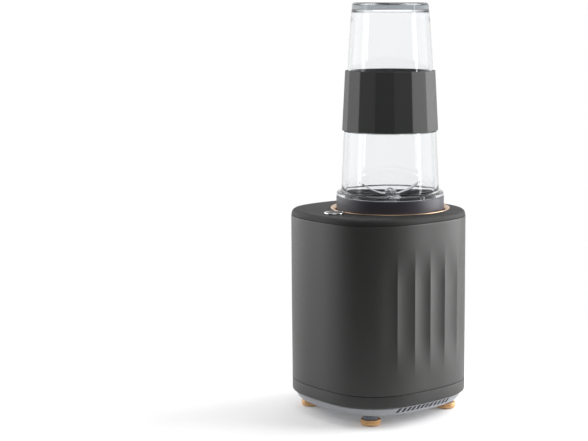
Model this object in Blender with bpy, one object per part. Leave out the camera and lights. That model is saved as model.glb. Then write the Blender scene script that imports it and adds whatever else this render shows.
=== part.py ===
"""A personal countertop blender: a squared base with a motor, and an inverted cup on a blade collar.

Sizes are in millimetres here and become metres as each mesh is made. +Z is up, the front is -Y, and
the origin is on the table, under the middle of the base. "GAP" is the air left between two pieces.
"""

from math import atan2, cos, pi, radians, sin

import bmesh
import bpy
from mathutils import Matrix

MM = 0.001
GAP = 0.3

# Base body
BODY_WIDTH = 134.0
BODY_DEPTH = 136.0
SQUIRCLE_POWER = 2.75
WALL = 2.6
FOOT_LIFT = 0.6
TRAY_BOTTOM = 8.5
TRAY_FLOOR = 2.4
BAND_BOTTOM = 17.0
BAND_HEIGHT = 10.2
HOUSING_HEIGHT = 140.0
DECK_THICKNESS = 4.6
DECK_FILLET = 3.6
DECK_SHOULDER = 2.5
TRAY_INSET = 2.4
TRAY_WALL = 2.2

# Pleats on the two side walls
FLUTE_PITCH = 16.4
FLUTE_DEPTH = 1.6
FLUTE_START = 16.0
FLUTE_END = 20.0
FLUTE_FADE = 24.0
INNER_FLUTES = 4

# Cup, collar and well
COLLAR_RADIUS = 46.0
COLLAR_HEIGHT = 27.8
COLLAR_STAND = 10.4
COLLAR_WALL = 2.3
COLLAR_FLOOR = 4.0
NECK_HEIGHT = 12.6
WELL_CLEARANCE = 1.2
RING_WIDTH = 4.0
RING_SLEEVE = 1.2
RING_DEPTH = 9.0
REAR_MARGIN = 3.7
CUP_HEIGHT = 160.0
CUP_WALL = 2.4
CUP_TAPER = 0.047
CUP_FLANGE = 3.2
SLEEVE_SETBACK = 55.4
SLEEVE_HEIGHT = 51.0
SLEEVE_WALL = 1.3
SLEEVE_FACETS = 16
SLEEVE_PHASE = 9.2
THREAD_STARTS = 3
THREAD_LEAD = 15.0
THREAD_SPAN = 100.0

# Feet, screws, button
FOOT_RADIUS = 8.4
FOOT_X = 40.3
FOOT_Y = 42.0
PAD_RADIUS = 6.6
PAD_HEIGHT = 1.6
SCREW_RADIUS = 1.8
SCREW_LENGTH = 20.0
BUTTON_RADIUS = 6.6
BUTTON_SETBACK = 20.5
BUTTON_TRAVEL = 2.2
VENTS = 12
VENT_PITCH = 4.7
VENT_WIDTH = 2.5
VENT_MIDDLE = -3.0

# Drive
SHAFT_RADIUS = 4.0
BLADE_SHAFT_RADIUS = 3.0
STATOR_RADIUS = 34.0
STATOR_STACK = 40.0
ARMATURE_RADIUS = 19.8
BEARING_RADIUS = 11.0
BEARING_HEIGHT = 6.5
COUPLER_RADIUS = 13.4
COUPLER_TEETH = 6
BLADE_SPAN = 27.0
CORD_HOLE = 3.7

# Heights that follow from the sizes above
HOUSING_BOTTOM = BAND_BOTTOM + BAND_HEIGHT + GAP
HOUSING_TOP = HOUSING_BOTTOM + HOUSING_HEIGHT
DECK_BOTTOM = HOUSING_TOP + GAP
DECK_TOP = DECK_BOTTOM + DECK_THICKNESS
COLLAR_TOP = DECK_TOP + COLLAR_STAND
COLLAR_BOTTOM = COLLAR_TOP - COLLAR_HEIGHT
WELL_FLOOR_TOP = COLLAR_BOTTOM - 2.5
WELL_FLOOR_BOTTOM = WELL_FLOOR_TOP - 2.5
SHELF_TOP = WELL_FLOOR_TOP + 4.0
SHELF_THICKNESS = 2.5
NECK_BOTTOM = COLLAR_TOP - NECK_HEIGHT
COLLAR_FLOOR_TOP = NECK_BOTTOM - 3.0
CUP_SHOULDER = COLLAR_TOP + GAP
CUP_TOP = CUP_SHOULDER + CUP_HEIGHT + CUP_FLANGE
SLEEVE_BOTTOM = CUP_SHOULDER + SLEEVE_SETBACK
SLEEVE_TOP = SLEEVE_BOTTOM + SLEEVE_HEIGHT

# Radii and places that follow
WELL_RADIUS = COLLAR_RADIUS + WELL_CLEARANCE
RING_INNER = WELL_RADIUS - 0.2
RING_OUTER = RING_INNER + RING_WIDTH
WELL_OUTER = RING_INNER + RING_SLEEVE + GAP + 1.7
CUP_Y = BODY_DEPTH / 2 - REAR_MARGIN - RING_OUTER
BORE_RADIUS = COLLAR_RADIUS - COLLAR_WALL
NECK_RADIUS = BORE_RADIUS - 2.2
CUP_RADIUS = NECK_RADIUS + 0.3
MOTOR_TOP = WELL_FLOOR_BOTTOM - GAP - 5.4 - GAP

# Controls, and the clearances that keep them off the ring and the motor
POCKET_FLOOR = DECK_TOP - 4.8
POCKET_RADIUS = BUTTON_RADIUS + 1.2
STEM_RADIUS = 2.4
DRIVE_HOLE = 9.0
PIN_RADIUS = 1.8
PIN_CIRCLE = COLLAR_RADIUS - 3.0
PIN_ANGLES = (30.0, 150.0, 270.0)
KEY_HALF = 4.0
KEY_HEIGHT = 3.2
INTERLOCK_WIDTH = 20.0
SWITCH_LOW = WELL_FLOOR_BOTTOM - 14.0
BOARD_WIDTH = 60.0
BOARD_Y = -BODY_DEPTH / 2 + 18.0
GLAND_Z = 40.0
GLAND_RADIUS = 7.0
POCKET_WALL = 1.6
SWITCH_HALF_DEPTH = 5.0
BUTTON_Y = min(BUTTON_SETBACK - BODY_DEPTH / 2, CUP_Y - RING_OUTER - GAP - POCKET_WALL - POCKET_RADIUS)
BRACKET_RADIUS = min(STATOR_RADIUS, PIN_CIRCLE - SWITCH_HALF_DEPTH - GAP * 2)

PLASTIC_DARK = ("graphite_plastic", (0.075, 0.075, 0.073), 0.45, 0.0)
PLASTIC_GREY = ("light_grey_plastic", (0.42, 0.42, 0.43), 0.5, 0.0)
PLASTIC_COLLAR = ("collar_plastic", (0.06, 0.055, 0.075), 0.35, 0.0)
COPPER = ("copper_finish", (0.62, 0.36, 0.18), 0.3, 1.0)
CHROME = ("chrome", (0.85, 0.86, 0.87), 0.12, 1.0)
CLEAR = ("clear_cup", (0.93, 0.95, 0.95), 0.05, 0.0)
RUBBER = ("rubber", (0.03, 0.03, 0.03), 0.8, 0.0)
SILICONE = ("silicone", (0.6, 0.6, 0.62), 0.6, 0.0)
STEEL = ("steel", (0.62, 0.63, 0.65), 0.3, 1.0)
IRON = ("lamination_iron", (0.2, 0.2, 0.21), 0.55, 1.0)
WINDING = ("copper_winding", (0.6, 0.27, 0.12), 0.45, 1.0)
ALUMINIUM = ("aluminium", (0.7, 0.71, 0.72), 0.4, 1.0)
BOARD = ("circuit_board", (0.03, 0.2, 0.09), 0.5, 0.0)
PLASTIC_BLACK = ("black_plastic", (0.02, 0.02, 0.02), 0.5, 0.0)


# ---------------------------------------------------------------- building blocks


def finish_of(spec):
    """The Principled material of one (name, colour, roughness, metallic) entry, made once."""
    name, colour, roughness, metallic = spec
    material = bpy.data.materials.get(name)
    if material is None:
        material = bpy.data.materials.new(name)
        material.use_nodes = True
        shader = material.node_tree.nodes["Principled BSDF"]
        shader.inputs["Base Color"].default_value = (*colour, 1.0)
        shader.inputs["Roughness"].default_value = roughness
        shader.inputs["Metallic"].default_value = metallic
    return material


def empty_at(name, x, y):
    """An empty on a vertical joint axis, which the moving pieces are parented to."""
    axis = bpy.data.objects.new(name, None)
    axis.location = (x * MM, y * MM, 0)
    bpy.context.scene.collection.objects.link(axis)
    return axis


def solid(name, spec, points, faces, parent=None, at=(0.0, 0.0, 0.0)):
    """A mesh object from points in millimetres, with its normals facing out."""
    mesh = bpy.data.meshes.new(name)
    shape = bmesh.new()
    corners = [shape.verts.new((x * MM, y * MM, z * MM)) for x, y, z in points]
    for face in faces:
        shape.faces.new([corners[i] for i in face])
    bmesh.ops.recalc_face_normals(shape, faces=shape.faces)
    shape.to_mesh(mesh)
    shape.free()
    mesh.shade_smooth()
    mesh.set_sharp_from_angle(angle=radians(35))
    thing = bpy.data.objects.new(name, mesh)
    thing.location = [value * MM for value in at]
    if parent is not None:
        thing.parent = parent
    mesh.materials.append(finish_of(spec))
    bpy.context.scene.collection.objects.link(thing)
    return thing


def lofted(name, spec, rings, hollow, parent=None, at=(0.0, 0.0, 0.0)):
    """Rings of equal count joined in order: the last to the first if hollow, else capped at both ends."""
    count = len(rings[0])
    points = [point for ring in rings for point in ring]
    faces = []
    spans = len(rings) if hollow else len(rings) - 1
    for i in range(spans):
        low, high = i * count, (i + 1) % len(rings) * count
        for j in range(count):
            k = (j + 1) % count
            faces.append((low + j, low + k, high + k, high + j))
    if not hollow:
        faces.append(tuple(range(count)))
        faces.append(tuple(range((len(rings) - 1) * count, len(rings) * count)))
    return solid(name, spec, points, faces, parent, at)


def circle(radius, z, segments):
    """A ring of points round the local Z axis."""
    turn = 2 * pi / segments
    return [(radius * cos(i * turn), radius * sin(i * turn), z) for i in range(segments)]


def turned(name, spec, profile, segments=24, hollow=True, parent=None, at=(0.0, 0.0, 0.0)):
    """A profile of (radius, height) points turned about the local Z axis."""
    rings = [circle(radius, z, segments) for radius, z in profile]
    return lofted(name, spec, rings, hollow, parent, at)


def tube(name, spec, inner, outer, low, high, segments=24, parent=None, at=(0.0, 0.0, 0.0)):
    """A plain ring."""
    profile = [(inner, low), (outer, low), (outer, high), (inner, high)]
    return turned(name, spec, profile, segments, True, parent, at)


def rod(name, spec, radius, low, high, segments=16, parent=None, at=(0.0, 0.0, 0.0)):
    """A plain cylinder."""
    return turned(name, spec, [(radius, low), (radius, high)], segments, False, parent, at)


def block(name, spec, low, high, parent=None, at=(0.0, 0.0, 0.0), turn=0.0):
    """A box between two corners, turned about the local Z axis by an angle in degrees."""
    flat = [(low[0], low[1]), (high[0], low[1]), (high[0], high[1]), (low[0], high[1])]
    rings = [[(x, y, z) for x, y in flat] for z in (low[2], high[2])]
    box = lofted(name, spec, rings, False, parent, at)
    box.data.transform(Matrix.Rotation(radians(turn), 4, "Z"))
    return box


def arc_block(name, spec, inner, outer, start, end, low, high, steps, parent=None, at=(0.0, 0.0, 0.0)):
    """A sector of a ring, between two angles in degrees."""
    rings = []
    for i in range(steps + 1):
        angle = radians(start + (end - start) * i / steps)
        corners = [(inner, low), (outer, low), (outer, high), (inner, high)]
        rings.append([(r * cos(angle), r * sin(angle), z) for r, z in corners])
    return lofted(name, spec, rings, False, parent, at)


def combine(target, tool, operation):
    """Adds a Boolean with a helper that isn't part of the object."""
    tool.hide_render = True
    tool.display_type = "WIRE"
    modifier = target.modifiers.new(tool.name, "BOOLEAN")
    modifier.operation = operation
    modifier.object = tool


def join(target, *tools):
    for tool in tools:
        combine(target, tool, "UNION")


def cut(target, *tools):
    for tool in tools:
        combine(target, tool, "DIFFERENCE")


# ---------------------------------------------------------------- the squared outline


def flute_dip(y):
    """How far the pleats take the side wall in at this depth: arcs between cusps, then a soft end."""
    half = INNER_FLUTES / 2 * FLUTE_PITCH
    if abs(y) <= half:
        u = (abs(y) / FLUTE_PITCH) % 1.0
        return FLUTE_DEPTH * (1 - (2 * u - 1) ** 2)
    v = (abs(y) - half) / FLUTE_PITCH
    return FLUTE_DEPTH * 0.75 * 6.75 * v * (1 - v) ** 2 if v < 1 else 0.0


def side_stations(fluted):
    """The depths, front to back, at which a side wall has points."""
    half = INNER_FLUTES / 2 * FLUTE_PITCH
    end = half + FLUTE_PITCH
    if not fluted:
        return [end * (2 * i / 8 - 1) for i in range(9)]
    soft = [half + FLUTE_PITCH * share for share in (0.33, 0.66, 1.0)]
    inner = [FLUTE_PITCH * i / 4 for i in range(-2 * INNER_FLUTES, 2 * INNER_FLUTES + 1)]
    return [-y for y in reversed(soft)] + inner + soft


def outline(inset, z, fluted=False, dip=0.0):
    """The base's outline, a superellipse, taken in by inset; dip is the share of the pleats' depth."""
    half_x = BODY_WIDTH / 2 - inset
    half_y = BODY_DEPTH / 2 - inset
    power = SQUIRCLE_POWER
    scale = half_y / (BODY_DEPTH / 2)

    def across(y):
        return half_x * (1 - abs(y / half_y) ** power) ** (1 / power)

    def along(x):
        return half_y * (1 - abs(x / half_x) ** power) ** (1 / power)

    right = []
    for y in side_stations(fluted):
        right.append((across(y * scale) - dip * flute_dip(y), y * scale))
    corner = across(right[-1][1])
    back_steps = 10
    back = []
    for i in range(1, back_steps):
        x = corner * (1 - 2 * i / back_steps)
        back.append((x, along(x)))
    left = [(-x, y) for x, y in reversed(right)]
    front = [(-x, -y) for x, y in back]
    return [(x, y, z) for x, y in right + back + left + front]


def circle_facing(ring, radius, z):
    """A circle round the cup's axis with a point in line with each point of a ring."""
    points = []
    for x, y, _ in ring:
        angle = atan2(y - CUP_Y, x)
        points.append((radius * cos(angle), CUP_Y + radius * sin(angle), z))
    return points


# ---------------------------------------------------------------- base shell


def corner_places():
    return [(sx * FOOT_X, sy * FOOT_Y) for sy in (-1, 1) for sx in (-1, 1)]


def base_housing():
    """The main shell: pleated walls, a shelf for the well, four screw bosses and two board guides."""
    flute_low = HOUSING_BOTTOM + FLUTE_START
    flute_high = HOUSING_TOP - FLUTE_END
    levels = [
        (HOUSING_BOTTOM, 0.0),
        (flute_low, 0.0),
        (flute_low + FLUTE_FADE, 1.0),
        (flute_high - FLUTE_FADE, 1.0),
        (flute_high, 0.0),
        (HOUSING_TOP, 0.0),
    ]
    rings = [outline(0.0, z, True, share) for z, share in levels]
    inner = FLUTE_DEPTH + WALL
    rings += [outline(WALL, HOUSING_TOP, True), outline(WALL, flute_high + 4.0, True)]
    rings += [outline(inner, flute_high, True)]
    rings += [outline(inner, flute_low, True), outline(WALL, HOUSING_BOTTOM, True)]
    housing = lofted("base_housing", PLASTIC_DARK, rings, True)

    rim = outline(WALL - 0.8, 0.0)
    hole = WELL_OUTER + GAP * 2
    shelf_low = SHELF_TOP - SHELF_THICKNESS
    shelf = [
        [(x, y, shelf_low) for x, y, _ in rim],
        [(x, y, SHELF_TOP) for x, y, _ in rim],
        circle_facing(rim, hole, SHELF_TOP),
        circle_facing(rim, hole, shelf_low),
    ]
    join(housing, lofted("shelf", PLASTIC_DARK, shelf, True))

    boss_top = TRAY_BOTTOM + TRAY_FLOOR + GAP + SCREW_LENGTH
    for number, (x, y) in enumerate(corner_places(), 1):
        place = (x, y, 0)
        boss = tube(
            f"boss_{number}", PLASTIC_DARK, SCREW_RADIUS + GAP, SCREW_RADIUS + 2.7,
            TRAY_BOTTOM + TRAY_FLOOR + GAP, boss_top + 6.0, 12, at=place,
        )
        reach = (BODY_WIDTH + BODY_DEPTH) / 4 * 0.777 * 1.4142 - (x * x + y * y) ** 0.5 - WALL / 2
        rib = block(
            f"rib_{number}", PLASTIC_DARK, (SCREW_RADIUS + 1.4, -1.0, HOUSING_BOTTOM + 2.0),
            (reach, 1.0, boss_top + 4.0), at=place, turn=atan2(y, x) * 180 / pi,
        )
        join(housing, boss, rib)

    for side in (-1, 1):
        guide = block(
            f"guide_{side}", PLASTIC_DARK, (-1.0, -BODY_DEPTH / 2 + 5.0, 58.0),
            (1.0, BOARD_Y + 4.0, 112.0), at=(side * (BOARD_WIDTH / 2 + GAP + 1.0), 0, 0),
        )
        join(housing, guide)

    gland_hole = rod("gland_hole", PLASTIC_DARK, GLAND_RADIUS + GAP, -12.0, 12.0, 16)
    gland_hole.rotation_euler = (pi / 2, 0, 0)
    gland_hole.location = (0, BODY_DEPTH / 2 * MM, GLAND_Z * MM)
    cut(housing, gland_hole)


def lower_band():
    """The plain band under the housing, with a flange that closes onto the tray."""
    top = BAND_BOTTOM + BAND_HEIGHT
    flange = TRAY_INSET + TRAY_WALL + 0.6
    section = [
        (0.8, BAND_BOTTOM), (0.0, BAND_BOTTOM + 0.8), (0.0, top), (WALL, top),
        (WALL, BAND_BOTTOM + 2.0), (flange, BAND_BOTTOM + 2.0), (flange, BAND_BOTTOM),
    ]
    lofted("lower_band", PLASTIC_DARK, [outline(inset, z) for inset, z in section], True)


def base_tray():
    """The light tray that closes the bottom: sloping sides with slanted vents, and screw holes."""
    top = BAND_BOTTOM - GAP
    floor = TRAY_BOTTOM + TRAY_FLOOR
    thick = TRAY_INSET + TRAY_WALL
    outside = [
        (TRAY_INSET + 6.6, TRAY_BOTTOM), (TRAY_INSET + 3.6, TRAY_BOTTOM + 1.2),
        (TRAY_INSET + 1.2, TRAY_BOTTOM + 4.2), (TRAY_INSET, top),
    ]
    inside = [(thick, top), (thick + 1.2, floor + 2.0), (thick + 3.0, floor)]
    tray = lofted("base_tray", PLASTIC_GREY, [outline(i, z) for i, z in outside + inside], False)

    slots_low, slots_high = TRAY_BOTTOM + 3.6, top - 1.0
    points, faces = [], []
    lean = (slots_high - slots_low) * 0.7
    for side in (-1, 1):
        for i in range(VENTS):
            middle = VENT_MIDDLE + (i - (VENTS - 1) / 2) * VENT_PITCH
            near, far = side * (BODY_WIDTH / 2 - 14.0), side * (BODY_WIDTH / 2 + 2.0)
            first = len(points)
            for z, y in ((slots_low, middle - lean / 2), (slots_high, middle + lean / 2)):
                half = VENT_WIDTH / 2
                points += [(near, y - half, z), (far, y - half, z), (far, y + half, z), (near, y + half, z)]
            sides = [(0, 1, 2, 3), (4, 5, 6, 7), (0, 1, 5, 4), (1, 2, 6, 5), (2, 3, 7, 6), (3, 0, 4, 7)]
            faces += [tuple(first + i for i in face) for face in sides]
    cut(tray, solid("vent_slots", PLASTIC_GREY, points, faces))
    for number, (x, y) in enumerate(corner_places(), 1):
        hole = rod(
            f"tray_hole_{number}", PLASTIC_GREY, SCREW_RADIUS + GAP,
            TRAY_BOTTOM - 2.0, floor + 2.0, 12, at=(x, y, 0),
        )
        cut(tray, hole)


def feet():
    """Four turned feet, each held by a screw that its pad hides."""
    top = TRAY_BOTTOM - GAP
    recess = PAD_HEIGHT + GAP
    seat = recess + 2.0 + GAP
    bore = SCREW_RADIUS + GAP
    head = SCREW_RADIUS * 2
    profile = [
        (bore, top), (bore, seat), (head + GAP, seat), (head + GAP, recess), (PAD_RADIUS + GAP, recess),
        (PAD_RADIUS + GAP, FOOT_LIFT), (FOOT_RADIUS - 0.4, FOOT_LIFT), (FOOT_RADIUS, FOOT_LIFT + 0.6),
        (FOOT_RADIUS, top - 2.4), (FOOT_RADIUS - 0.7, top - 1.8), (FOOT_RADIUS - 1.9, top - 1.8),
        (FOOT_RADIUS - 1.9, top),
    ]
    screw = [
        (head, recess + GAP), (head, seat - GAP), (SCREW_RADIUS, seat - GAP),
        (SCREW_RADIUS, seat + SCREW_LENGTH), (0.6, seat + SCREW_LENGTH + 1.6),
    ]
    pad = [(PAD_RADIUS - 0.3, 0.0), (PAD_RADIUS, 0.3), (PAD_RADIUS, PAD_HEIGHT)]
    for number, (x, y) in enumerate(corner_places(), 1):
        place = (x, y, 0)
        turned(f"foot_{number}", COPPER, profile, 16, True, at=place)
        turned(f"foot_pad_{number}", RUBBER, pad, 16, False, at=place)
        turned(f"foot_screw_{number}", STEEL, screw, 8, False, at=place)


def top_deck():
    """The flat top, with the mouth of the well and the button's pocket."""
    edge = outline(0.2, DECK_BOTTOM)
    mouth = RING_OUTER + GAP * 2
    rings = [
        edge,
        outline(0.2, DECK_TOP - DECK_FILLET),
        outline(0.9, DECK_TOP - DECK_FILLET / 3),
        outline(DECK_SHOULDER, DECK_TOP),
        circle_facing(edge, mouth, DECK_TOP),
        circle_facing(edge, mouth, DECK_BOTTOM),
    ]
    deck = lofted("top_deck", PLASTIC_DARK, rings, True)
    place = (0, BUTTON_Y, 0)
    pocket = rod("pocket", PLASTIC_DARK, POCKET_RADIUS + POCKET_WALL, POCKET_FLOOR - 1.8, DECK_TOP - 0.7, 20, at=place)
    well = rod("pocket_hollow", PLASTIC_DARK, POCKET_RADIUS, POCKET_FLOOR, DECK_TOP + 3.0, 20, at=place)
    stem = rod("stem_hole", PLASTIC_DARK, STEM_RADIUS + 0.4, POCKET_FLOOR - 4.0, POCKET_FLOOR + 2.0, 12, at=place)
    join(deck, pocket)
    cut(deck, well, stem)


def accent_ring():
    """The copper ring in the mouth of the well: a flange on a thin sleeve."""
    sleeve = RING_INNER + RING_SLEEVE
    flange = DECK_BOTTOM + 0.1
    top = DECK_TOP + 0.4
    profile = [
        (RING_INNER, DECK_TOP - RING_DEPTH), (sleeve, DECK_TOP - RING_DEPTH), (sleeve, flange),
        (RING_OUTER, flange), (RING_OUTER, top - 0.4), (RING_OUTER - 0.4, top), (RING_INNER + 0.8, top),
        (RING_INNER, top - 0.8),
    ]
    turned("accent_ring", COPPER, profile, 36, True, at=(0, CUP_Y, 0))


def cup_well():
    """The bowl that takes the collar: a floor with holes for the drive and the interlock pins."""
    seat = RING_INNER + RING_SLEEVE + GAP
    step = DECK_TOP - RING_DEPTH - GAP
    profile = [
        (DRIVE_HOLE, WELL_FLOOR_BOTTOM), (WELL_OUTER, WELL_FLOOR_BOTTOM), (WELL_OUTER, SHELF_TOP + GAP),
        (WELL_OUTER + 1.5, SHELF_TOP + GAP), (WELL_OUTER + 1.5, SHELF_TOP + GAP + 2.0),
        (WELL_OUTER, SHELF_TOP + GAP + 2.0), (WELL_OUTER, DECK_BOTTOM - GAP), (seat, DECK_BOTTOM - GAP),
        (seat, step), (WELL_RADIUS, step), (WELL_RADIUS, WELL_FLOOR_TOP), (DRIVE_HOLE, WELL_FLOOR_TOP),
    ]
    place = (0, CUP_Y, 0)
    well = turned("cup_well", PLASTIC_BLACK, profile, 36, True, at=place)
    for number, angle in enumerate(PIN_ANGLES, 1):
        x, y = PIN_CIRCLE * cos(radians(angle)), PIN_CIRCLE * sin(radians(angle))
        hole = rod(
            f"pin_hole_{number}", PLASTIC_BLACK, PIN_RADIUS + 0.4, WELL_FLOOR_BOTTOM - 3.0,
            WELL_FLOOR_TOP + 1.5, 14, at=(x, CUP_Y + y, 0),
        )
        cut(well, hole)
        rib = arc_block(
            f"key_{number}", PLASTIC_BLACK, PIN_CIRCLE - 3.0, PIN_CIRCLE + 1.0, angle + 60 - KEY_HALF,
            angle + 60 + KEY_HALF, WELL_FLOOR_TOP - 1.0, COLLAR_BOTTOM + KEY_HEIGHT, 3, at=place,
        )
        join(well, rib)
    for side in (-1, 1):
        leg = block(
            f"switch_leg_{side}", PLASTIC_BLACK, (-1.0, -SWITCH_HALF_DEPTH, SWITCH_LOW), (1.0, SWITCH_HALF_DEPTH, WELL_FLOOR_BOTTOM + 1.0),
            at=(side * (INTERLOCK_WIDTH / 2 + GAP + 1.0), CUP_Y - PIN_CIRCLE, 0),
        )
        join(well, leg)


# ---------------------------------------------------------------- button and interlock


def button_parts(button_axis):
    """The button cap with its stem, its bright ring, its spring and the switch under it."""
    place = (0, BUTTON_Y, 0)
    ring_inner = BUTTON_RADIUS + 0.4
    ring = [
        (ring_inner, DECK_BOTTOM + 0.5), (POCKET_RADIUS - GAP, DECK_BOTTOM + 0.5),
        (POCKET_RADIUS - GAP, DECK_TOP + GAP), (POCKET_RADIUS + 0.9, DECK_TOP + GAP),
        (POCKET_RADIUS + 0.7, DECK_TOP + 1.1), (ring_inner, DECK_TOP + 1.1),
    ]
    turned("button_ring", CHROME, ring, 20, True, at=place)
    cap_low = DECK_TOP - 0.8
    stem_low = POCKET_FLOOR - 2.4
    cap = [
        (STEM_RADIUS, stem_low), (STEM_RADIUS, cap_low), (BUTTON_RADIUS, cap_low),
        (BUTTON_RADIUS, DECK_TOP + 0.9), (BUTTON_RADIUS - 0.6, DECK_TOP + 1.4),
    ]
    turned("button_cap", PLASTIC_DARK, cap, 20, False, parent=button_axis)
    coil("button_spring", STEEL, 5.2, 0.35, POCKET_FLOOR + 0.7, cap_low - 0.7, 2, place)
    switch_top = stem_low - BUTTON_TRAVEL - GAP
    block(
        "button_switch", PLASTIC_BLACK, (-6.4, -3.2, SHELF_TOP + GAP), (6.4, 3.2, switch_top), at=place
    )


def coil(name, spec, radius, wire, low, high, turns, at):
    """A coil spring as a tube along a helix."""
    steps = turns * 9
    curve = bpy.data.curves.new(name, "CURVE")
    curve.dimensions = "3D"
    curve.bevel_depth = wire * MM
    curve.bevel_resolution = 1
    curve.use_fill_caps = True
    line = curve.splines.new("POLY")
    line.points.add(steps)
    for i, point in enumerate(line.points):
        angle = 2 * pi * turns * i / steps
        height = low + (high - low) * i / steps
        point.co = (radius * cos(angle) * MM, radius * sin(angle) * MM, height * MM, 1)
    thing = bpy.data.objects.new(name, curve)
    thing.location = [value * MM for value in at]
    curve.materials.append(finish_of(spec))
    bpy.context.scene.collection.objects.link(thing)


def interlock_parts(interlock_axis):
    """Three pins that the collar's skirt holds down, and the safety switch under the front one."""
    low = SWITCH_LOW + 8.0
    for number, angle in enumerate(PIN_ANGLES, 1):
        x, y = PIN_CIRCLE * cos(radians(angle)), PIN_CIRCLE * sin(radians(angle))
        profile = [
            (PIN_RADIUS, low), (PIN_RADIUS, low + 1.0), (PIN_RADIUS + 1.4, low + 1.0),
            (PIN_RADIUS + 1.4, low + 2.2), (PIN_RADIUS, low + 2.2), (PIN_RADIUS, COLLAR_BOTTOM - GAP - 0.5),
            (PIN_RADIUS - 0.5, COLLAR_BOTTOM - GAP),
        ]
        turned(f"interlock_pin_{number}", PLASTIC_GREY, profile, 8, False, parent=interlock_axis, at=(x, y, 0))
    half = INTERLOCK_WIDTH / 2
    block(
        "interlock_switch", PLASTIC_BLACK, (-half, -3.2, SWITCH_LOW - 2.0), (half, 3.2, low - GAP),
        at=(0, CUP_Y - PIN_CIRCLE, 0),
    )


# ---------------------------------------------------------------- motor


def motor_frame():
    """Everything of the motor that stands still."""
    place = (0, CUP_Y, 0)
    plate_top = MOTOR_TOP
    plate_low = plate_top - 3.5
    stack_top = STACK_LOW + STATOR_STACK
    pole_inner, pole_outer = ARMATURE_RADIUS + 0.6, 27.0

    stator = tube("stator_stack", IRON, pole_outer, STATOR_RADIUS, STACK_LOW, stack_top, 28, at=place)
    for side, turn in (("left", 180.0), ("right", 0.0)):
        pole = arc_block(
            f"pole_{side}", IRON, pole_inner, pole_outer + 1.0, turn - 48, turn + 48,
            STACK_LOW + 0.1, stack_top - 0.1, 5, at=place,
        )
        join(stator, pole)
        inner, outer = pole_inner + 0.5, pole_outer - 0.5
        above, below = stack_top + 0.4, STACK_LOW - 0.4
        turns = arc_block(
            f"field_coil_{side}", WINDING, inner, outer, turn - 86, turn + 86, above, above + 5.0, 8, at=place
        )
        under = arc_block(
            f"coil_under_{side}", WINDING, inner, outer, turn - 86, turn + 86, below - 5.0, below, 8, at=place
        )
        join(turns, under)
        for end in (-1, 1):
            a, b = sorted((turn + end * 54, turn + end * 85.5))
            leg = arc_block(
                f"coil_leg_{side}_{end}", WINDING, inner + 0.1, outer - 0.1, a, b,
                below - 4.0, above + 4.0, 2, at=place,
            )
            join(turns, leg)

    bearing_seat = BEARING_RADIUS + GAP
    top_bearing = plate_top - 6.0 - BEARING_HEIGHT
    upper = turned("upper_bracket", ALUMINIUM, [
        (SHAFT_RADIUS + 0.8, plate_top), (SHAFT_RADIUS + 0.8, top_bearing + BEARING_HEIGHT + GAP),
        (bearing_seat, top_bearing + BEARING_HEIGHT + GAP), (bearing_seat, top_bearing - 0.6),
        (bearing_seat + 2.4, top_bearing - 0.6), (bearing_seat + 2.4, plate_low), (BRACKET_RADIUS, plate_low),
        (BRACKET_RADIUS, plate_top),
    ], 24, True, at=place)
    low_plate = STACK_LOW - 19.0
    low_bearing = low_plate - 6.5
    lower = turned("lower_bracket", ALUMINIUM, [
        (SHAFT_RADIUS + 0.8, low_plate), (SHAFT_RADIUS + 0.8, low_bearing + BEARING_HEIGHT + GAP - 3.5),
        (bearing_seat, low_bearing + BEARING_HEIGHT + GAP - 3.5), (bearing_seat, low_bearing - 4.1),
        (bearing_seat + 2.4, low_bearing - 4.1), (bearing_seat + 2.4, low_plate - 3.5),
        (STATOR_RADIUS, low_plate - 3.5), (STATOR_RADIUS, low_plate),
    ], 24, True, at=place)
    post_circle = (pole_outer + STATOR_RADIUS) / 2
    for i in range(4):
        angle = radians(45 + 90 * i)
        spot = (post_circle * cos(angle), CUP_Y + post_circle * sin(angle), 0)
        join(upper, rod(f"upper_post_{i}", ALUMINIUM, 2.8, stack_top + GAP, plate_low + 1.0, 8, at=spot))
        join(lower, rod(f"lower_post_{i}", ALUMINIUM, 2.8, low_plate - 1.0, STACK_LOW - GAP, 8, at=spot))
        mount = [(4.2, plate_top + GAP), (5.2, plate_top + 1.6), (5.2, plate_top + 4.3), (4.2, plate_top + 5.6)]
        turned(f"motor_mount_{i + 1}", RUBBER, mount, 10, False, at=spot)
    ring = [
        (SHAFT_RADIUS + GAP, 0.0), (BEARING_RADIUS, 0.0), (BEARING_RADIUS, BEARING_HEIGHT),
        (SHAFT_RADIUS + GAP, BEARING_HEIGHT),
    ]
    for name, z in (("upper_bearing", top_bearing), ("lower_bearing", low_bearing - 3.5)):
        turned(name, STEEL, ring, 18, True, at=(0, CUP_Y, z))
    for side, turn in (("left", 180.0), ("right", 0.0)):
        holder = block(
            f"brush_holder_{side}", PLASTIC_BLACK, (COMMUTATOR_RADIUS + 0.5, -4.5, low_plate + GAP),
            (COMMUTATOR_RADIUS + 15.0, 4.5, STACK_LOW - 8.0), at=place, turn=turn,
        )


STACK_LOW = MOTOR_TOP - 60.0
COMMUTATOR_RADIUS = 10.0


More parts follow.
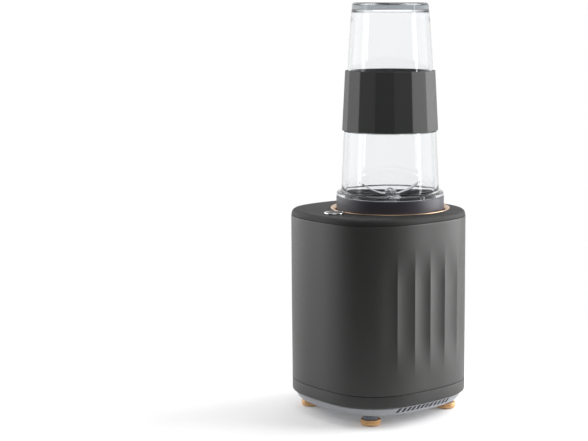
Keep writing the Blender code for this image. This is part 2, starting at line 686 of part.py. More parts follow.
def rotor_parts(rotor_axis):
    """Everything that turns with the motor's shaft, up to the drive coupler in the well."""
    stack_top = STACK_LOW + STATOR_STACK
    coupler_low = WELL_FLOOR_TOP + 0.7
    shaft_low = STACK_LOW - 43.0
    bore = SHAFT_RADIUS + GAP
    rod("motor_shaft", STEEL, SHAFT_RADIUS, shaft_low, coupler_low + 4.4, 16, parent=rotor_axis)

    slots = 10
    core_ring = []
    for i in range(slots):
        middle = 2 * pi * i / slots
        tooth, gap, depth = radians(11.5), radians(14.5), 13.6
        for angle, radius in (
            (middle - gap, depth), (middle - tooth, ARMATURE_RADIUS), (middle, ARMATURE_RADIUS),
            (middle + tooth, ARMATURE_RADIUS), (middle + gap, depth),
        ):
            core_ring.append((radius * cos(angle), radius * sin(angle)))
    bore_ring = [(bore * x / (x * x + y * y) ** 0.5, bore * y / (x * x + y * y) ** 0.5) for x, y in core_ring]
    levels = [(core_ring, STACK_LOW), (core_ring, stack_top), (bore_ring, stack_top), (bore_ring, STACK_LOW)]
    core = [[(x, y, z) for x, y in ring] for ring, z in levels]
    lofted("armature_core", IRON, core, True, parent=rotor_axis)

    windings = tube("armature_windings", WINDING, bore + 0.8, 17.0, stack_top + 0.4, stack_top + 5.4, 18,
                    parent=rotor_axis)
    join(windings, tube("windings_below", WINDING, bore + 0.8, 17.0, STACK_LOW - 5.4, STACK_LOW - 0.4, 18,
                        parent=rotor_axis))
    for i in range(slots):
        join(windings, block(
            f"slot_fill_{i}", WINDING, (14.6, -0.9, STACK_LOW - 3.0), (16.6, 0.9, stack_top + 3.0),
            parent=rotor_axis, turn=18 + 36 * i,
        ))
    bars = []
    for i in range(30):
        radius = COMMUTATOR_RADIUS if i % 3 else COMMUTATOR_RADIUS - 0.8
        bars.append((radius * cos(2 * pi * i / 30), radius * sin(2 * pi * i / 30)))
    inner = [(bore * x / (x * x + y * y) ** 0.5, bore * y / (x * x + y * y) ** 0.5) for x, y in bars]
    low, high = STACK_LOW - 18.0, STACK_LOW - 6.0
    levels = [(bars, low), (bars, high), (inner, high), (inner, low)]
    lofted("commutator", WINDING, [[(x, y, z) for x, y in ring] for ring, z in levels], True, parent=rotor_axis)

    fan_top = STACK_LOW - 33.0
    fan = turned("cooling_fan", PLASTIC_BLACK, [
        (bore, fan_top - 9.0), (8.0, fan_top - 9.0), (8.0, fan_top - 1.6), (FAN_RADIUS, fan_top - 1.6),
        (FAN_RADIUS, fan_top), (bore, fan_top),
    ], 18, True, parent=rotor_axis)
    for i in range(9):
        blade = block(f"fan_blade_{i}", PLASTIC_BLACK, (7.0, -0.8, fan_top - 8.5), (FAN_RADIUS - 0.5, 0.8, fan_top - 1.0),
                      parent=rotor_axis, turn=40 * i + 5)
        join(fan, blade)

    hub = coupler_low + 5.5
    coupler = turned("drive_coupler", PLASTIC_BLACK, [
        (bore, coupler_low), (COUPLER_RADIUS, coupler_low), (COUPLER_RADIUS, coupler_low + 2.0),
        (6.6, coupler_low + 2.0), (6.6, hub), (bore, hub),
    ], 18, True, parent=rotor_axis)
    for i in range(COUPLER_TEETH):
        middle = 360 / COUPLER_TEETH * i
        join(coupler, arc_block(
            f"drive_tooth_{i}", PLASTIC_BLACK, 6.0, COUPLER_RADIUS - 0.1, middle - 12, middle + 12,
            coupler_low + 1.0, coupler_low + 5.7, 2, parent=rotor_axis,
        ))


FAN_RADIUS = 30.0


def control_board():
    """The board in its guides, with a relay, a heat sink and a capacitor, and the cord's empty gland."""
    half = BOARD_WIDTH / 2
    board = block("control_board", BOARD, (-half, -0.8, 60.0), (half, 0.8, 110.0), at=(0, BOARD_Y, 0))
    join(board, block("relay", BOARD, (-22.0, -0.5, 84.0), (-6.0, 12.0, 102.0), at=(0, BOARD_Y, 0)))
    join(board, block("heat_sink", BOARD, (4.0, -0.5, 66.0), (22.0, 9.0, 88.0), at=(0, BOARD_Y, 0)))
    join(board, block("terminal", BOARD, (-20.0, -0.5, 64.0), (-4.0, 8.0, 72.0), at=(0, BOARD_Y, 0)))
    back = WALL + FLUTE_DEPTH + 0.5
    profile = [
        (CORD_HOLE, 0.8), (GLAND_RADIUS - 0.6, 0.8), (GLAND_RADIUS, 1.4), (GLAND_RADIUS, back),
        (GLAND_RADIUS + 2.4, back), (GLAND_RADIUS + 2.4, back + 1.8), (CORD_HOLE + 1.6, back + 8.0),
        (CORD_HOLE, back + 8.0),
    ]
    gland = turned("cord_gland", RUBBER, profile, 16, True)
    gland.rotation_euler = (pi / 2, 0, 0)
    gland.location = (0, BODY_DEPTH / 2 * MM, GLAND_Z * MM)


# ---------------------------------------------------------------- cup assembly


def thread_ridge(name, spec, root, crest, base_z, start, parent, embed):
    """One start of a right-hand thread: a tapered ridge on a helix that climbs THREAD_LEAD a turn."""
    steps = 8
    rings = []
    for i in range(steps + 1):
        sweep = THREAD_SPAN * i / steps
        angle = radians(start + sweep)
        z = base_z + THREAD_LEAD * sweep / 360
        share = min(1.0, 4.0 * min(i, steps - i) / steps)
        tip = root + embed * 0.4 + (crest - root - embed * 0.4) * share
        section = [(root + embed, -0.95), (tip, -0.5), (tip, 0.5), (root + embed, 0.95)]
        rings.append([(r * cos(angle), r * sin(angle), z + dz) for r, dz in section])
    return lofted(name, spec, rings, False, parent=parent)


def blade_collar(collar_axis):
    """The collar that holds the blades: a threaded bore above a floor, and a keyed skirt below."""
    skirt = PIN_CIRCLE - 3.0
    floor_low = COLLAR_FLOOR_TOP - COLLAR_FLOOR
    hole = BUSH_RADIUS + GAP
    profile = [
        (hole, floor_low), (skirt, floor_low), (skirt, COLLAR_BOTTOM), (COLLAR_RADIUS - 0.8, COLLAR_BOTTOM),
        (COLLAR_RADIUS, COLLAR_BOTTOM + 0.8), (COLLAR_RADIUS, COLLAR_TOP - 0.6), (COLLAR_RADIUS - 0.6, COLLAR_TOP),
        (BORE_RADIUS, COLLAR_TOP), (BORE_RADIUS, COLLAR_FLOOR_TOP), (hole, COLLAR_FLOOR_TOP),
    ]
    collar = turned("blade_collar", PLASTIC_COLLAR, profile, 36, True, parent=collar_axis)
    for number, angle in enumerate(PIN_ANGLES, 1):
        notch = arc_block(
            f"notch_{number}", PLASTIC_COLLAR, PIN_CIRCLE - 6.0, PIN_CIRCLE + 1.6, angle + 60 - KEY_HALF - 1.0,
            angle + 60 + KEY_HALF + 1.0, COLLAR_BOTTOM - 2.0, COLLAR_BOTTOM + KEY_HEIGHT + 0.6, 3,
            parent=collar_axis,
        )
        cut(collar, notch)
    for k in range(THREAD_STARTS):
        ridge = thread_ridge(
            f"collar_thread_{k}", PLASTIC_COLLAR, BORE_RADIUS, BORE_RADIUS - 1.7,
            THREAD_LOW + THREAD_LEAD / THREAD_STARTS / 2, 360 / THREAD_STARTS * k, collar_axis, 0.8,
        )
        join(collar, ridge)


THREAD_LOW = NECK_BOTTOM + 2.6
BUSH_RADIUS = 8.0
BUSH_TOP = COLLAR_FLOOR_TOP + 12.0


def blade_bush(collar_axis):
    """The bearing post that carries the blade shaft through the collar's floor."""
    bore = BLADE_SHAFT_RADIUS + GAP
    flange = COLLAR_FLOOR_TOP + GAP
    profile = [
        (bore, flange - COLLAR_FLOOR), (BUSH_RADIUS, flange - COLLAR_FLOOR), (BUSH_RADIUS, flange),
        (BUSH_RADIUS + 3.2, flange), (BUSH_RADIUS + 3.2, flange + 1.4), (BUSH_RADIUS, flange + 3.0),
        (BUSH_RADIUS - 1.6, BUSH_TOP), (bore, BUSH_TOP),
    ]
    turned("blade_bush", STEEL, profile, 18, True, parent=collar_axis)


def cup_gasket(seal_axis):
    """The round seal between the cup's rim and the collar's floor."""
    low, high = COLLAR_FLOOR_TOP + GAP, NECK_BOTTOM - GAP
    outer, inner = NECK_RADIUS - 0.1, NECK_RADIUS - 3.6
    profile = [(inner, low), (outer, low), (outer, high - 0.5), (outer - 0.5, high), (inner + 0.5, high),
               (inner, high - 0.5)]
    turned("cup_gasket", SILICONE, profile, 32, True, parent=seal_axis)


def cup_outer(z):
    """The outer radius of the cup's wall: a cone that draws in faster near the end."""
    rise = z - CUP_SHOULDER - CUP_FLANGE
    late = max(0.0, rise - 105.0)
    return CUP_RADIUS - CUP_TAPER * rise - 0.0005 * late * late


def cup_parts(cup_axis, sleeve_axis):
    """The inverted cup with its thread, flange and dished end, and the faceted grip sleeve round it."""
    flange_top = CUP_SHOULDER + CUP_FLANGE
    seat = 0.7
    waist, shoulder = SLEEVE_BOTTOM - GAP - 0.3, SLEEVE_TOP + 1.0
    ceiling = CUP_TOP - 9.5

    def wall(z):
        return cup_outer(z) - (seat if z > waist + 0.01 else 0.0)

    inner = [
        (wall(ceiling) - CUP_WALL - 4.6, ceiling),
        (wall(ceiling) - CUP_WALL - 1.2, ceiling - 1.6),
        (wall(ceiling) - CUP_WALL, ceiling - 5.0),
        (wall(shoulder) - CUP_WALL, shoulder),
        (cup_outer(flange_top) - CUP_WALL, flange_top + 2.0),
        (NECK_RADIUS - CUP_WALL, CUP_SHOULDER - 2.0),
        (NECK_RADIUS - CUP_WALL, NECK_BOTTOM),
    ]
    outer = [
        (NECK_RADIUS, NECK_BOTTOM), (NECK_RADIUS, CUP_SHOULDER),
        (COLLAR_RADIUS - 0.3, CUP_SHOULDER), (COLLAR_RADIUS - 0.3, flange_top - 1.2),
        (COLLAR_RADIUS - 1.2, flange_top - 0.2), (cup_outer(flange_top) + 0.8, flange_top),
        (cup_outer(flange_top + 2), flange_top + 2.0), (cup_outer(waist), waist), (wall(waist + 0.3), waist + 0.3),
        (wall(shoulder), shoulder), (wall(CUP_TOP - 24), CUP_TOP - 24.0),
        (wall(CUP_TOP - 3), CUP_TOP - 3.0), (wall(CUP_TOP) - 0.9, CUP_TOP - 0.8), (wall(CUP_TOP) - 2.4, CUP_TOP),
        (wall(CUP_TOP) - 4.0, CUP_TOP), (wall(CUP_TOP) - 6.0, CUP_TOP - 3.0),
    ]
    cup = turned("cup", CLEAR, inner + outer, 36, False, parent=cup_axis)
    for k in range(THREAD_STARTS):
        ridge = thread_ridge(
            f"cup_thread_{k}", CLEAR, NECK_RADIUS, NECK_RADIUS + 1.7, THREAD_LOW,
            360 / THREAD_STARTS * k + 8, cup_axis, -0.8,
        )
        join(cup, ridge)

    facet = 360 / SLEEVE_FACETS
    parts = 3
    rings = []
    for z, outside in ((SLEEVE_BOTTOM, True), (SLEEVE_TOP, True), (SLEEVE_TOP, False), (SLEEVE_BOTTOM, False)):
        bore = wall(max(z, waist + 1)) + GAP
        apothem = bore + SLEEVE_WALL - (0.2 if z == SLEEVE_TOP else 0.0)
        ring = []
        for i in range(SLEEVE_FACETS * parts):
            angle = facet * i / parts
            across = (i % parts) / parts * facet - facet / 2
            reach = apothem / cos(radians(across)) if outside else bore / cos(radians(facet / parts / 2))
            turn = radians(SLEEVE_PHASE + angle)
            ring.append((reach * cos(turn), reach * sin(turn), z))
        rings.append(ring)
    lofted("grip_sleeve", PLASTIC_DARK, rings, True, parent=sleeve_axis)


def bent_blade(name, parent, z, rise, turn, tip_width):
    """A two-winged blade: a flat middle on the shaft, and wings bent up or down by the given rise."""
    thick = 1.3
    stations = []
    for share in (-1.0, -0.97, -0.62, -0.3, 0.3, 0.62, 0.97, 1.0):
        x = share * BLADE_SPAN
        bend = max(0.0, abs(share) - 0.3) / 0.7
        half = 7.0 - (7.0 - tip_width / 2) * bend if abs(share) < 0.99 else tip_width / 8
        skew = (tip_width / 3 if share > 0 else -tip_width / 3) * bend
        stations.append((x, z + rise * bend, half, skew))
    rings = []
    for x, height, half, skew in stations:
        rings.append([
            (x, skew - half, height), (x, skew + half, height),
            (x, skew + half, height + thick), (x, skew - half, height + thick),
        ])
    blade = lofted(name, STEEL, rings, False, parent=parent)
    hole = rod(f"{name}_hole", STEEL, BLADE_SHAFT_RADIUS + GAP, z - 4.0, z + 6.0, 16, parent=parent)
    cut(blade, hole)
    blade.rotation_euler = (0, 0, radians(turn))


def blade_parts(blade_axis):
    """The blades on their shaft, the nut above them and the toothed coupler under the collar's floor."""
    coupler_top = COLLAR_FLOOR_TOP - COLLAR_FLOOR - 0.6
    tooth_low = WELL_FLOOR_TOP + 0.7 + 2.0 + 0.5
    bore = BLADE_SHAFT_RADIUS + GAP
    shaft_low = WELL_FLOOR_TOP + 0.7 + 5.5 + 0.6
    blade_z = BUSH_TOP + 0.6
    nut_low = blade_z + 1.3 + 0.5 + 1.3 + 0.4
    rod("blade_shaft", STEEL, BLADE_SHAFT_RADIUS, shaft_low, nut_low + 4.0, 16, parent=blade_axis)
    bent_blade("lower_blade", blade_axis, blade_z, -8.5, BLADE_TURN + 90, 7.0)
    bent_blade("upper_blade", blade_axis, blade_z + 1.8, 12.0, BLADE_TURN, 6.0)
    nut = turned("blade_nut", STEEL, [
        (bore, nut_low), (5.4, nut_low), (5.4, nut_low + 3.0), (4.2, nut_low + 5.2), (2.2, nut_low + 6.2),
        (1.0, nut_low + 6.4), (1.0, nut_low + 4.6), (bore, nut_low + 4.4),
    ], 12, True, parent=blade_axis)
    nut.rotation_euler = (0, 0, radians(BLADE_TURN))
    coupler = turned("blade_coupler", PLASTIC_BLACK, [
        (bore, coupler_top - 2.0), (COUPLER_RADIUS, coupler_top - 2.0), (COUPLER_RADIUS, coupler_top),
        (bore, coupler_top),
    ], 18, True, parent=blade_axis)
    for i in range(COUPLER_TEETH):
        middle = 360 / COUPLER_TEETH * (i + 0.5)
        join(coupler, arc_block(
            f"blade_tooth_{i}", PLASTIC_BLACK, 7.4, COUPLER_RADIUS - 0.1, middle - 12, middle + 12,
            tooth_low, coupler_top - 1.0, 2, parent=blade_axis,
        ))


BLADE_TURN = 60.0


def main():
    for old in list(bpy.data.objects):
        bpy.data.objects.remove(old)
    axes = {
        name: empty_at(f"{name}_axis", 0.0, CUP_Y)
        for name in ("rotor", "interlock", "collar", "seal", "cup", "sleeve", "blade")
    }
    base_housing()
    lower_band()
    base_tray()
    feet()
    top_deck()
    accent_ring()
    cup_well()
    button_parts(empty_at("button_axis", 0.0, BUTTON_Y))
    interlock_parts(axes["interlock"])
    motor_frame()
    rotor_parts(axes["rotor"])
    control_board()
    blade_collar(axes["collar"])
    blade_bush(axes["collar"])
    cup_gasket(axes["seal"])
    cup_parts(axes["cup"], axes["sleeve"])
    blade_parts(axes["blade"])


main()
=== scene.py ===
"""Looks for a personal countertop blender: a pleated motor base and an inverted clear cup on a collar.

Sizes are in millimetres and become metres as each mesh is made. +Z is up and the front is -Y. Heights
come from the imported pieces, so each visible surface lies where its solid does.
"""

import logging
from dataclasses import dataclass, field
from enum import Enum
from math import cos, pi, radians, sin
from typing import Sequence

import bmesh
import bpy
import numpy as np
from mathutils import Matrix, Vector

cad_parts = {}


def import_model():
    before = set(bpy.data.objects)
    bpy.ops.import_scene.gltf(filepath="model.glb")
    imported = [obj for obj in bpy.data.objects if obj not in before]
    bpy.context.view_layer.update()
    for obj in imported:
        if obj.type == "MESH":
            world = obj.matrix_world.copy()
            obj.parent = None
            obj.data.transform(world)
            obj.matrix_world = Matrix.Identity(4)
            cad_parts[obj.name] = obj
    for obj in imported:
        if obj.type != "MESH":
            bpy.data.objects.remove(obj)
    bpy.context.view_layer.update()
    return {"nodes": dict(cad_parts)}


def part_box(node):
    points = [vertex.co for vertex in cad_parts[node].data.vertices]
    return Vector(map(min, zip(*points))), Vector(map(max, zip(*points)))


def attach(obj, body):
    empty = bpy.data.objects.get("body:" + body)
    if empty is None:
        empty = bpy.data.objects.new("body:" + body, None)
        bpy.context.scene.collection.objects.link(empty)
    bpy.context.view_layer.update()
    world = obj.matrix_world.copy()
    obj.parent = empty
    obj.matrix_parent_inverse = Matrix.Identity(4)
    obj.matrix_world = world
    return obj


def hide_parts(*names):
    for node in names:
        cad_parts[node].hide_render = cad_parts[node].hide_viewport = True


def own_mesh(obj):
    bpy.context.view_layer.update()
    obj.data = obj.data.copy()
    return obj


MM = 0.001
WELD = 1e-6
CRISP = 32.0
KEY_ANGLES = (90.0, 210.0, 330.0)
NECK_LENGTH = 12.6
COUPLER_RADIUS = 13.4
GRAIN_DEPTH = 0.0001
WHITE = (1.0, 1.0, 1.0, 1.0)
LOG = logging.getLogger("blender_looks")


# ---------------------------------------------------------------- reading the frame


def low(node: str) -> float:
    """The height of a node's lowest point, in millimetres."""
    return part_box(node)[0][2] / MM


def high(node: str) -> float:
    """The height of a node's highest point, in millimetres."""
    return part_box(node)[1][2] / MM


def middle(node: str) -> tuple[float, float]:
    """The middle of a node's box in plan, in millimetres."""
    lowest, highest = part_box(node)
    return (lowest[0] + highest[0]) / 2 / MM, (lowest[1] + highest[1]) / 2 / MM


def reach(node: str) -> float:
    """Half of a round node's width, in millimetres."""
    lowest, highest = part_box(node)
    return (highest[0] - lowest[0]) / 2 / MM


# ---------------------------------------------------------------- surfaces


def corner_arc(
    before: np.ndarray, corner: np.ndarray, after: np.ndarray, cut: float, steps: int
) -> np.ndarray:
    """A rounded corner of a profile.

    The arc is the quadratic curve B(t) = (1-t)^2 A + 2t(1-t) C + t^2 D, where C is the corner and A and D lie
    the cut distance from it along its two sides.

    Args:
        before: the point before the corner.
        corner: the corner itself.
        after: the point after it.
        cut: how far from the corner the arc starts and ends.
        steps: how many pieces the arc has.

    Returns:
        The arc's points.
    """
    back, on = before - corner, after - corner
    cut = min(cut, 0.45 * float(np.linalg.norm(back)), 0.45 * float(np.linalg.norm(on)))
    start = corner + back / np.linalg.norm(back) * cut
    end = corner + on / np.linalg.norm(on) * cut
    t = np.linspace(0.0, 1.0, steps + 1)[:, None]
    return (1 - t) ** 2 * start + 2 * t * (1 - t) * corner + t**2 * end


def eased(profile: Sequence[tuple[float, ...]], closed: bool, steps: int = 4) -> np.ndarray:
    """A profile with its corners rounded.

    Args:
        profile: (radius, height) points, with a third number where the corner is rounded by that much.
        closed: whether the last point joins the first.
        steps: how many pieces each arc has.

    Returns:
        The finished (radius, height) points.
    """
    flat = np.array([point[:2] for point in profile], float)
    count = len(flat)
    runs = []
    for i, point in enumerate(profile):
        inside = closed or 0 < i < count - 1
        if len(point) > 2 and inside:
            runs.append(corner_arc(flat[i - 1], flat[i], flat[(i + 1) % count], point[2], steps))
        else:
            runs.append(flat[i : i + 1])
    return np.concatenate(runs)


def subdivided(profile: np.ndarray, step: float) -> np.ndarray:
    """A profile with extra points, so that no span is longer than step.

    Args:
        profile: (radius, height) points.
        step: the longest span wanted.

    Returns:
        The finer profile.
    """
    runs = []
    for a, b in zip(profile[:-1], profile[1:]):
        pieces = max(1, int(np.ceil(np.linalg.norm(b - a) / step)))
        runs.append(a + (b - a) * np.linspace(0.0, 1.0, pieces, endpoint=False)[:, None])
    runs.append(profile[-1:])
    return np.concatenate(runs)


def turn(count: int, start: float = 0.0) -> np.ndarray:
    """Evenly spaced angles round a full turn, in radians."""
    return start + np.linspace(0.0, 2 * pi, count, endpoint=False)


def polar(
    radius: np.ndarray, angles: np.ndarray, height: np.ndarray | float, centre: tuple[float, float]
) -> np.ndarray:
    """Points (cx + r cos a, cy + r sin a, z), with the height spread over the grid.

    Args:
        radius: the points' distances from the axis.
        angles: the angles round the axis.
        height: the points' heights.
        centre: where the axis stands in plan.

    Returns:
        The grid of points.
    """
    x = centre[0] + radius * np.cos(angles)
    y = centre[1] + radius * np.sin(angles)
    return np.stack([x, y, np.broadcast_to(height, x.shape)], axis=-1)


def revolved(profile: np.ndarray, angles: np.ndarray, centre: tuple[float, float] = (0.0, 0.0)) -> np.ndarray:
    """The surface of revolution P(s, a) = (cx + r(s) cos a, cy + r(s) sin a, z(s)).

    Args:
        profile: (radius, height) points.
        angles: the angles round the axis.
        centre: where the axis stands in plan.

    Returns:
        A grid of points, a row for each profile point.
    """
    return polar(profile[:, 0:1], angles, profile[:, 1:2], centre)


def smoothstep(value: np.ndarray) -> np.ndarray:
    """The soft step t^2 (3 - 2t), held at 0 and 1 outside its span."""
    t = np.clip(value, 0.0, 1.0)
    return t * t * (3 - 2 * t)


class Shape:
    """Gathers point grids, in millimetres, into one mesh."""

    def __init__(self) -> None:
        """Starts with nothing in it."""
        self.points: list[np.ndarray] = []
        self.faces: list[list[int]] = []
        self.count = 0

    def grid(self, points: np.ndarray, close_rows: bool = False, close_columns: bool = True) -> "Shape":
        """Adds a grid of points as four-sided faces.

        Args:
            points: rows x columns x 3.
            close_rows: whether the last row joins the first.
            close_columns: whether the last column joins the first.

        Returns:
            The shape, for chaining.
        """
        rows, columns = points.shape[:2]
        index = np.arange(rows * columns).reshape(rows, columns) + self.count
        below = index if close_rows else index[:-1]
        above = np.roll(index, -1, axis=0) if close_rows else index[1:]
        if close_columns:
            right_below, right_above = np.roll(below, -1, axis=1), np.roll(above, -1, axis=1)
        else:
            right_below, right_above = below[:, 1:], above[:, 1:]
            below, above = below[:, :-1], above[:, :-1]
        quads = np.stack([below, right_below, right_above, above], axis=-1).reshape(-1, 4)
        self.points.append(points.reshape(-1, 3))
        self.faces.extend(quads.tolist())
        self.count += rows * columns
        return self

    def lid(self, ring: np.ndarray) -> "Shape":
        """Closes a ring of points with a fan about its middle.

        Args:
            ring: the ring's points, in order.

        Returns:
            The shape, for chaining.
        """
        count = len(ring)
        around = np.arange(count) + self.count
        hub = np.full(count, self.count + count)
        self.points.extend([ring, ring.mean(axis=0, keepdims=True)])
        self.faces.extend(np.stack([around, np.roll(around, -1), hub], axis=-1).tolist())
        self.count += count + 1
        return self

    def tube(self, points: np.ndarray) -> "Shape":
        """Adds a grid whose columns close round and whose two end rows get lids."""
        return self.grid(points).lid(points[0]).lid(points[-1])

    def build(self, name: str, sharp: float = CRISP) -> bpy.types.Object:
        """Makes the object, with doubles merged, faces outwards and edges over the sharp angle kept crisp.

        Args:
            name: the piece's name.
            sharp: edges over this angle, in degrees, stay crisp.

        Returns:
            The object.
        """
        mesh = bpy.data.meshes.new(name)
        mesh.from_pydata((np.concatenate(self.points) * MM).tolist(), [], self.faces)
        shape = bmesh.new()
        shape.from_mesh(mesh)
        bmesh.ops.remove_doubles(shape, verts=shape.verts, dist=WELD)
        bmesh.ops.recalc_face_normals(shape, faces=shape.faces)
        shape.to_mesh(mesh)
        shape.free()
        mesh.shade_smooth()
        mesh.set_sharp_from_angle(angle=radians(sharp))
        piece = bpy.data.objects.new(name, mesh)
        bpy.context.scene.collection.objects.link(piece)
        return piece


def carved(piece: bpy.types.Object, cutter: bpy.types.Object, sharp: float = CRISP) -> bpy.types.Object:
    """Cuts one closed mesh out of another and removes the cutter.

    Args:
        piece: the mesh that is cut.
        cutter: the mesh taken out of it.
        sharp: edges over this angle, in degrees, stay crisp.

    Returns:
        The cut piece.
    """
    tool = piece.modifiers.new("carve", "BOOLEAN")
    tool.operation = "DIFFERENCE"
    tool.solver = "EXACT"
    tool.object = cutter
    cut = bpy.data.meshes.new_from_object(piece.evaluated_get(bpy.context.evaluated_depsgraph_get()))
    piece.modifiers.clear()
    old = piece.data
    piece.data = cut
    cut.name = piece.name
    bpy.data.meshes.remove(old)
    bpy.data.objects.remove(cutter)
    cut.shade_smooth()
    cut.set_sharp_from_angle(angle=radians(sharp))
    return piece


def lathe(
    name: str,
    profile: Sequence[tuple[float, ...]],
    centre: tuple[float, float] = (0.0, 0.0),
    segments: int = 128,
    hollow: bool = True,
    step: float = 4.0,
) -> bpy.types.Object:
    """A turned piece from a profile with rounded corners.

    Args:
        name: the piece's name.
        profile: (radius, height, rounding) points.
        centre: where the axis stands in plan.
        segments: how many faces go round.
        hollow: whether the profile closes on itself; otherwise its two ends get lids.
        step: the longest span along the profile.

    Returns:
        The object.
    """
    line = eased(profile, hollow)
    if hollow:
        line = subdivided(np.concatenate([line, line[:1]]), step)[:-1]
        return Shape().grid(revolved(line, turn(segments), centre), close_rows=True).build(name)
    return Shape().tube(revolved(subdivided(line, step), turn(segments), centre)).build(name)


def sector(
    inner: float, outer: float, start: float, end: float, bottom: float, top: float,
    centre: tuple[float, float],
) -> np.ndarray:
    """A block between two radii, two angles in degrees and two heights, as rows of a closed section.

    Args:
        inner: the inner radius.
        outer: the outer radius.
        start: the first angle, in degrees.
        end: the last angle, in degrees.
        bottom: the lowest height.
        top: the highest height.
        centre: where its middle stands in plan.

    Returns:
        A row for each angle, of the section's four corners.
    """
    angles = np.radians(np.linspace(start, end, 9))
    section = np.array([[inner, bottom], [outer, bottom], [outer, top], [inner, top]])
    return revolved(section, angles, centre).transpose(1, 0, 2)


# ---------------------------------------------------------------- finishes


class Tree:
    """A short way to write a node tree."""

    def __init__(self, tree: bpy.types.NodeTree) -> None:
        """Takes the tree that nodes are added to."""
        self.tree = tree

    def add(self, kind: str, inputs: dict | None = None, **settings) -> bpy.types.Node:
        """Adds a node.

        Args:
            kind: the node's type, without its ShaderNode prefix.
            inputs: values or output sockets for its inputs, by name or number.
            settings: values for the node's own properties.

        Returns:
            The node.
        """
        node = self.tree.nodes.new(f"ShaderNode{kind}")
        for key, value in settings.items():
            setattr(node, key, value)
        for key, value in (inputs or {}).items():
            self.feed(node.inputs[key], value)
        return node

    def feed(self, socket: bpy.types.NodeSocket, value: object) -> None:
        """Links an output to a socket, or sets the socket's own value.

        Args:
            socket: the socket that is fed.
            value: the value, or the output socket that gives it.
        """
        if isinstance(value, bpy.types.NodeSocket):
            self.tree.links.new(value, socket)
        else:
            socket.default_value = value

    def between(
        self, value: object, start: float, end: float, to_low: float, to_high: float, **settings
    ) -> object:
        """A value carried from one span to another."""
        inputs = {"Value": value, "From Min": start, "From Max": end, "To Min": to_low, "To Max": to_high}
        return self.add("MapRange", inputs, **settings).outputs[0]

    def sum(self, first: object, second: object, operation: str = "ADD", clamp: bool = False) -> object:
        """Two values put together by an operation."""
        return self.add("Math", {0: first, 1: second}, operation=operation, use_clamp=clamp).outputs[0]


class Nodes(Tree):
    """A material and its node tree."""

    def __init__(self, name: str) -> None:
        """Makes a material that holds only its shader and output."""
        self.material = bpy.data.materials.new(name)
        self.material.use_nodes = True
        super().__init__(self.material.node_tree)
        self.shader = self.tree.nodes["Principled BSDF"]

    def place(
        self, scale: tuple[float, float, float] = (1.0, 1.0, 1.0), at: tuple = (0.0, 0.0, 0.0)
    ) -> object:
        """Object coordinates, moved so that a point is the origin, then stretched.

        Args:
            scale: the stretch along each axis.
            at: the point that becomes the origin.

        Returns:
            The output socket.
        """
        source = self.add("TexCoord").outputs["Object"]
        moved = self.add("Mapping", {"Vector": source, "Location": tuple(-value for value in at)})
        return self.add("Mapping", {"Vector": moved.outputs[0], "Scale": scale}).outputs[0]

    def noise(self, where: object, scale: float, detail: float = 2.0, rough: float = 0.5) -> object:
        """A noise value at a scale."""
        inputs = {"Vector": where, "Scale": scale, "Detail": detail, "Roughness": rough}
        return self.add("TexNoise", inputs).outputs[0]

    def blend(self, share: object, first: object, second: object) -> object:
        """Two colours mixed by a share.

        Args:
            share: how much of the second colour there is.
            first: the first colour.
            second: the second colour.

        Returns:
            The mixed colour's socket.
        """
        node = self.add("Mix", data_type="RGBA")
        self.feed(node.inputs[0], share)
        self.feed(node.inputs[6], (*first, 1.0) if isinstance(first, tuple) else first)
        self.feed(node.inputs[7], (*second, 1.0) if isinstance(second, tuple) else second)
        return node.outputs[2]

    def bump(self, height: object, strength: float, distance: float) -> None:
        """Feeds a height into the shader's normal."""
        bump = self.add("Bump", {"Height": height, "Strength": strength, "Distance": distance})
        self.feed(self.shader.inputs["Normal"], bump.outputs[0])

    def shade(self, **inputs: object) -> bpy.types.Material:
        """Sets the shader's inputs by name, with underscores for spaces, and returns the material.

        Args:
            inputs: a value or an output socket for each input.

        Returns:
            The material.
        """
        for key, value in inputs.items():
            self.feed(self.shader.inputs[key.replace("_", " ")], value)
        return self.material


def tint(colour: tuple[float, float, float], factor: float) -> tuple[float, float, float]:
    """A colour made lighter or darker by a factor."""
    return tuple(min(1.0, channel * factor) for channel in colour)


@dataclass(frozen=True)
class Moulded:
    """Moulded plastic: a fine spark-eroded grain, slow colour drift and a little unevenness in its gloss."""

    name: str
    colour: tuple[float, float, float]
    roughness: float = 0.42
    grain: float = 0.05
    grain_scale: float = 2600.0
    specular: float = 0.5
    coat: float = 0.0

    def material(self) -> bpy.types.Material:
        """Builds the node tree.

        Returns:
            The material.
        """
        nodes = Nodes(self.name)
        where = nodes.place()
        drift = nodes.noise(where, 22.0, 3.0)
        fine = nodes.noise(where, self.grain_scale, 2.0, 0.6)
        coarse = nodes.noise(where, self.grain_scale * 0.3, 1.0)
        colour = nodes.blend(drift, tint(self.colour, 0.93), tint(self.colour, 1.07))
        colour = nodes.blend(nodes.between(fine, 0.35, 0.75, 0.0, 0.22), colour, tint(self.colour, 1.5))
        roughness = nodes.between(coarse, 0.3, 0.7, self.roughness - 0.04, self.roughness + 0.05)
        nodes.bump(nodes.sum(fine, coarse), self.grain, GRAIN_DEPTH)
        return nodes.shade(
            Base_Color=colour, Roughness=roughness, Specular_IOR_Level=self.specular, Coat_Weight=self.coat,
            Coat_Roughness=0.2,
        )


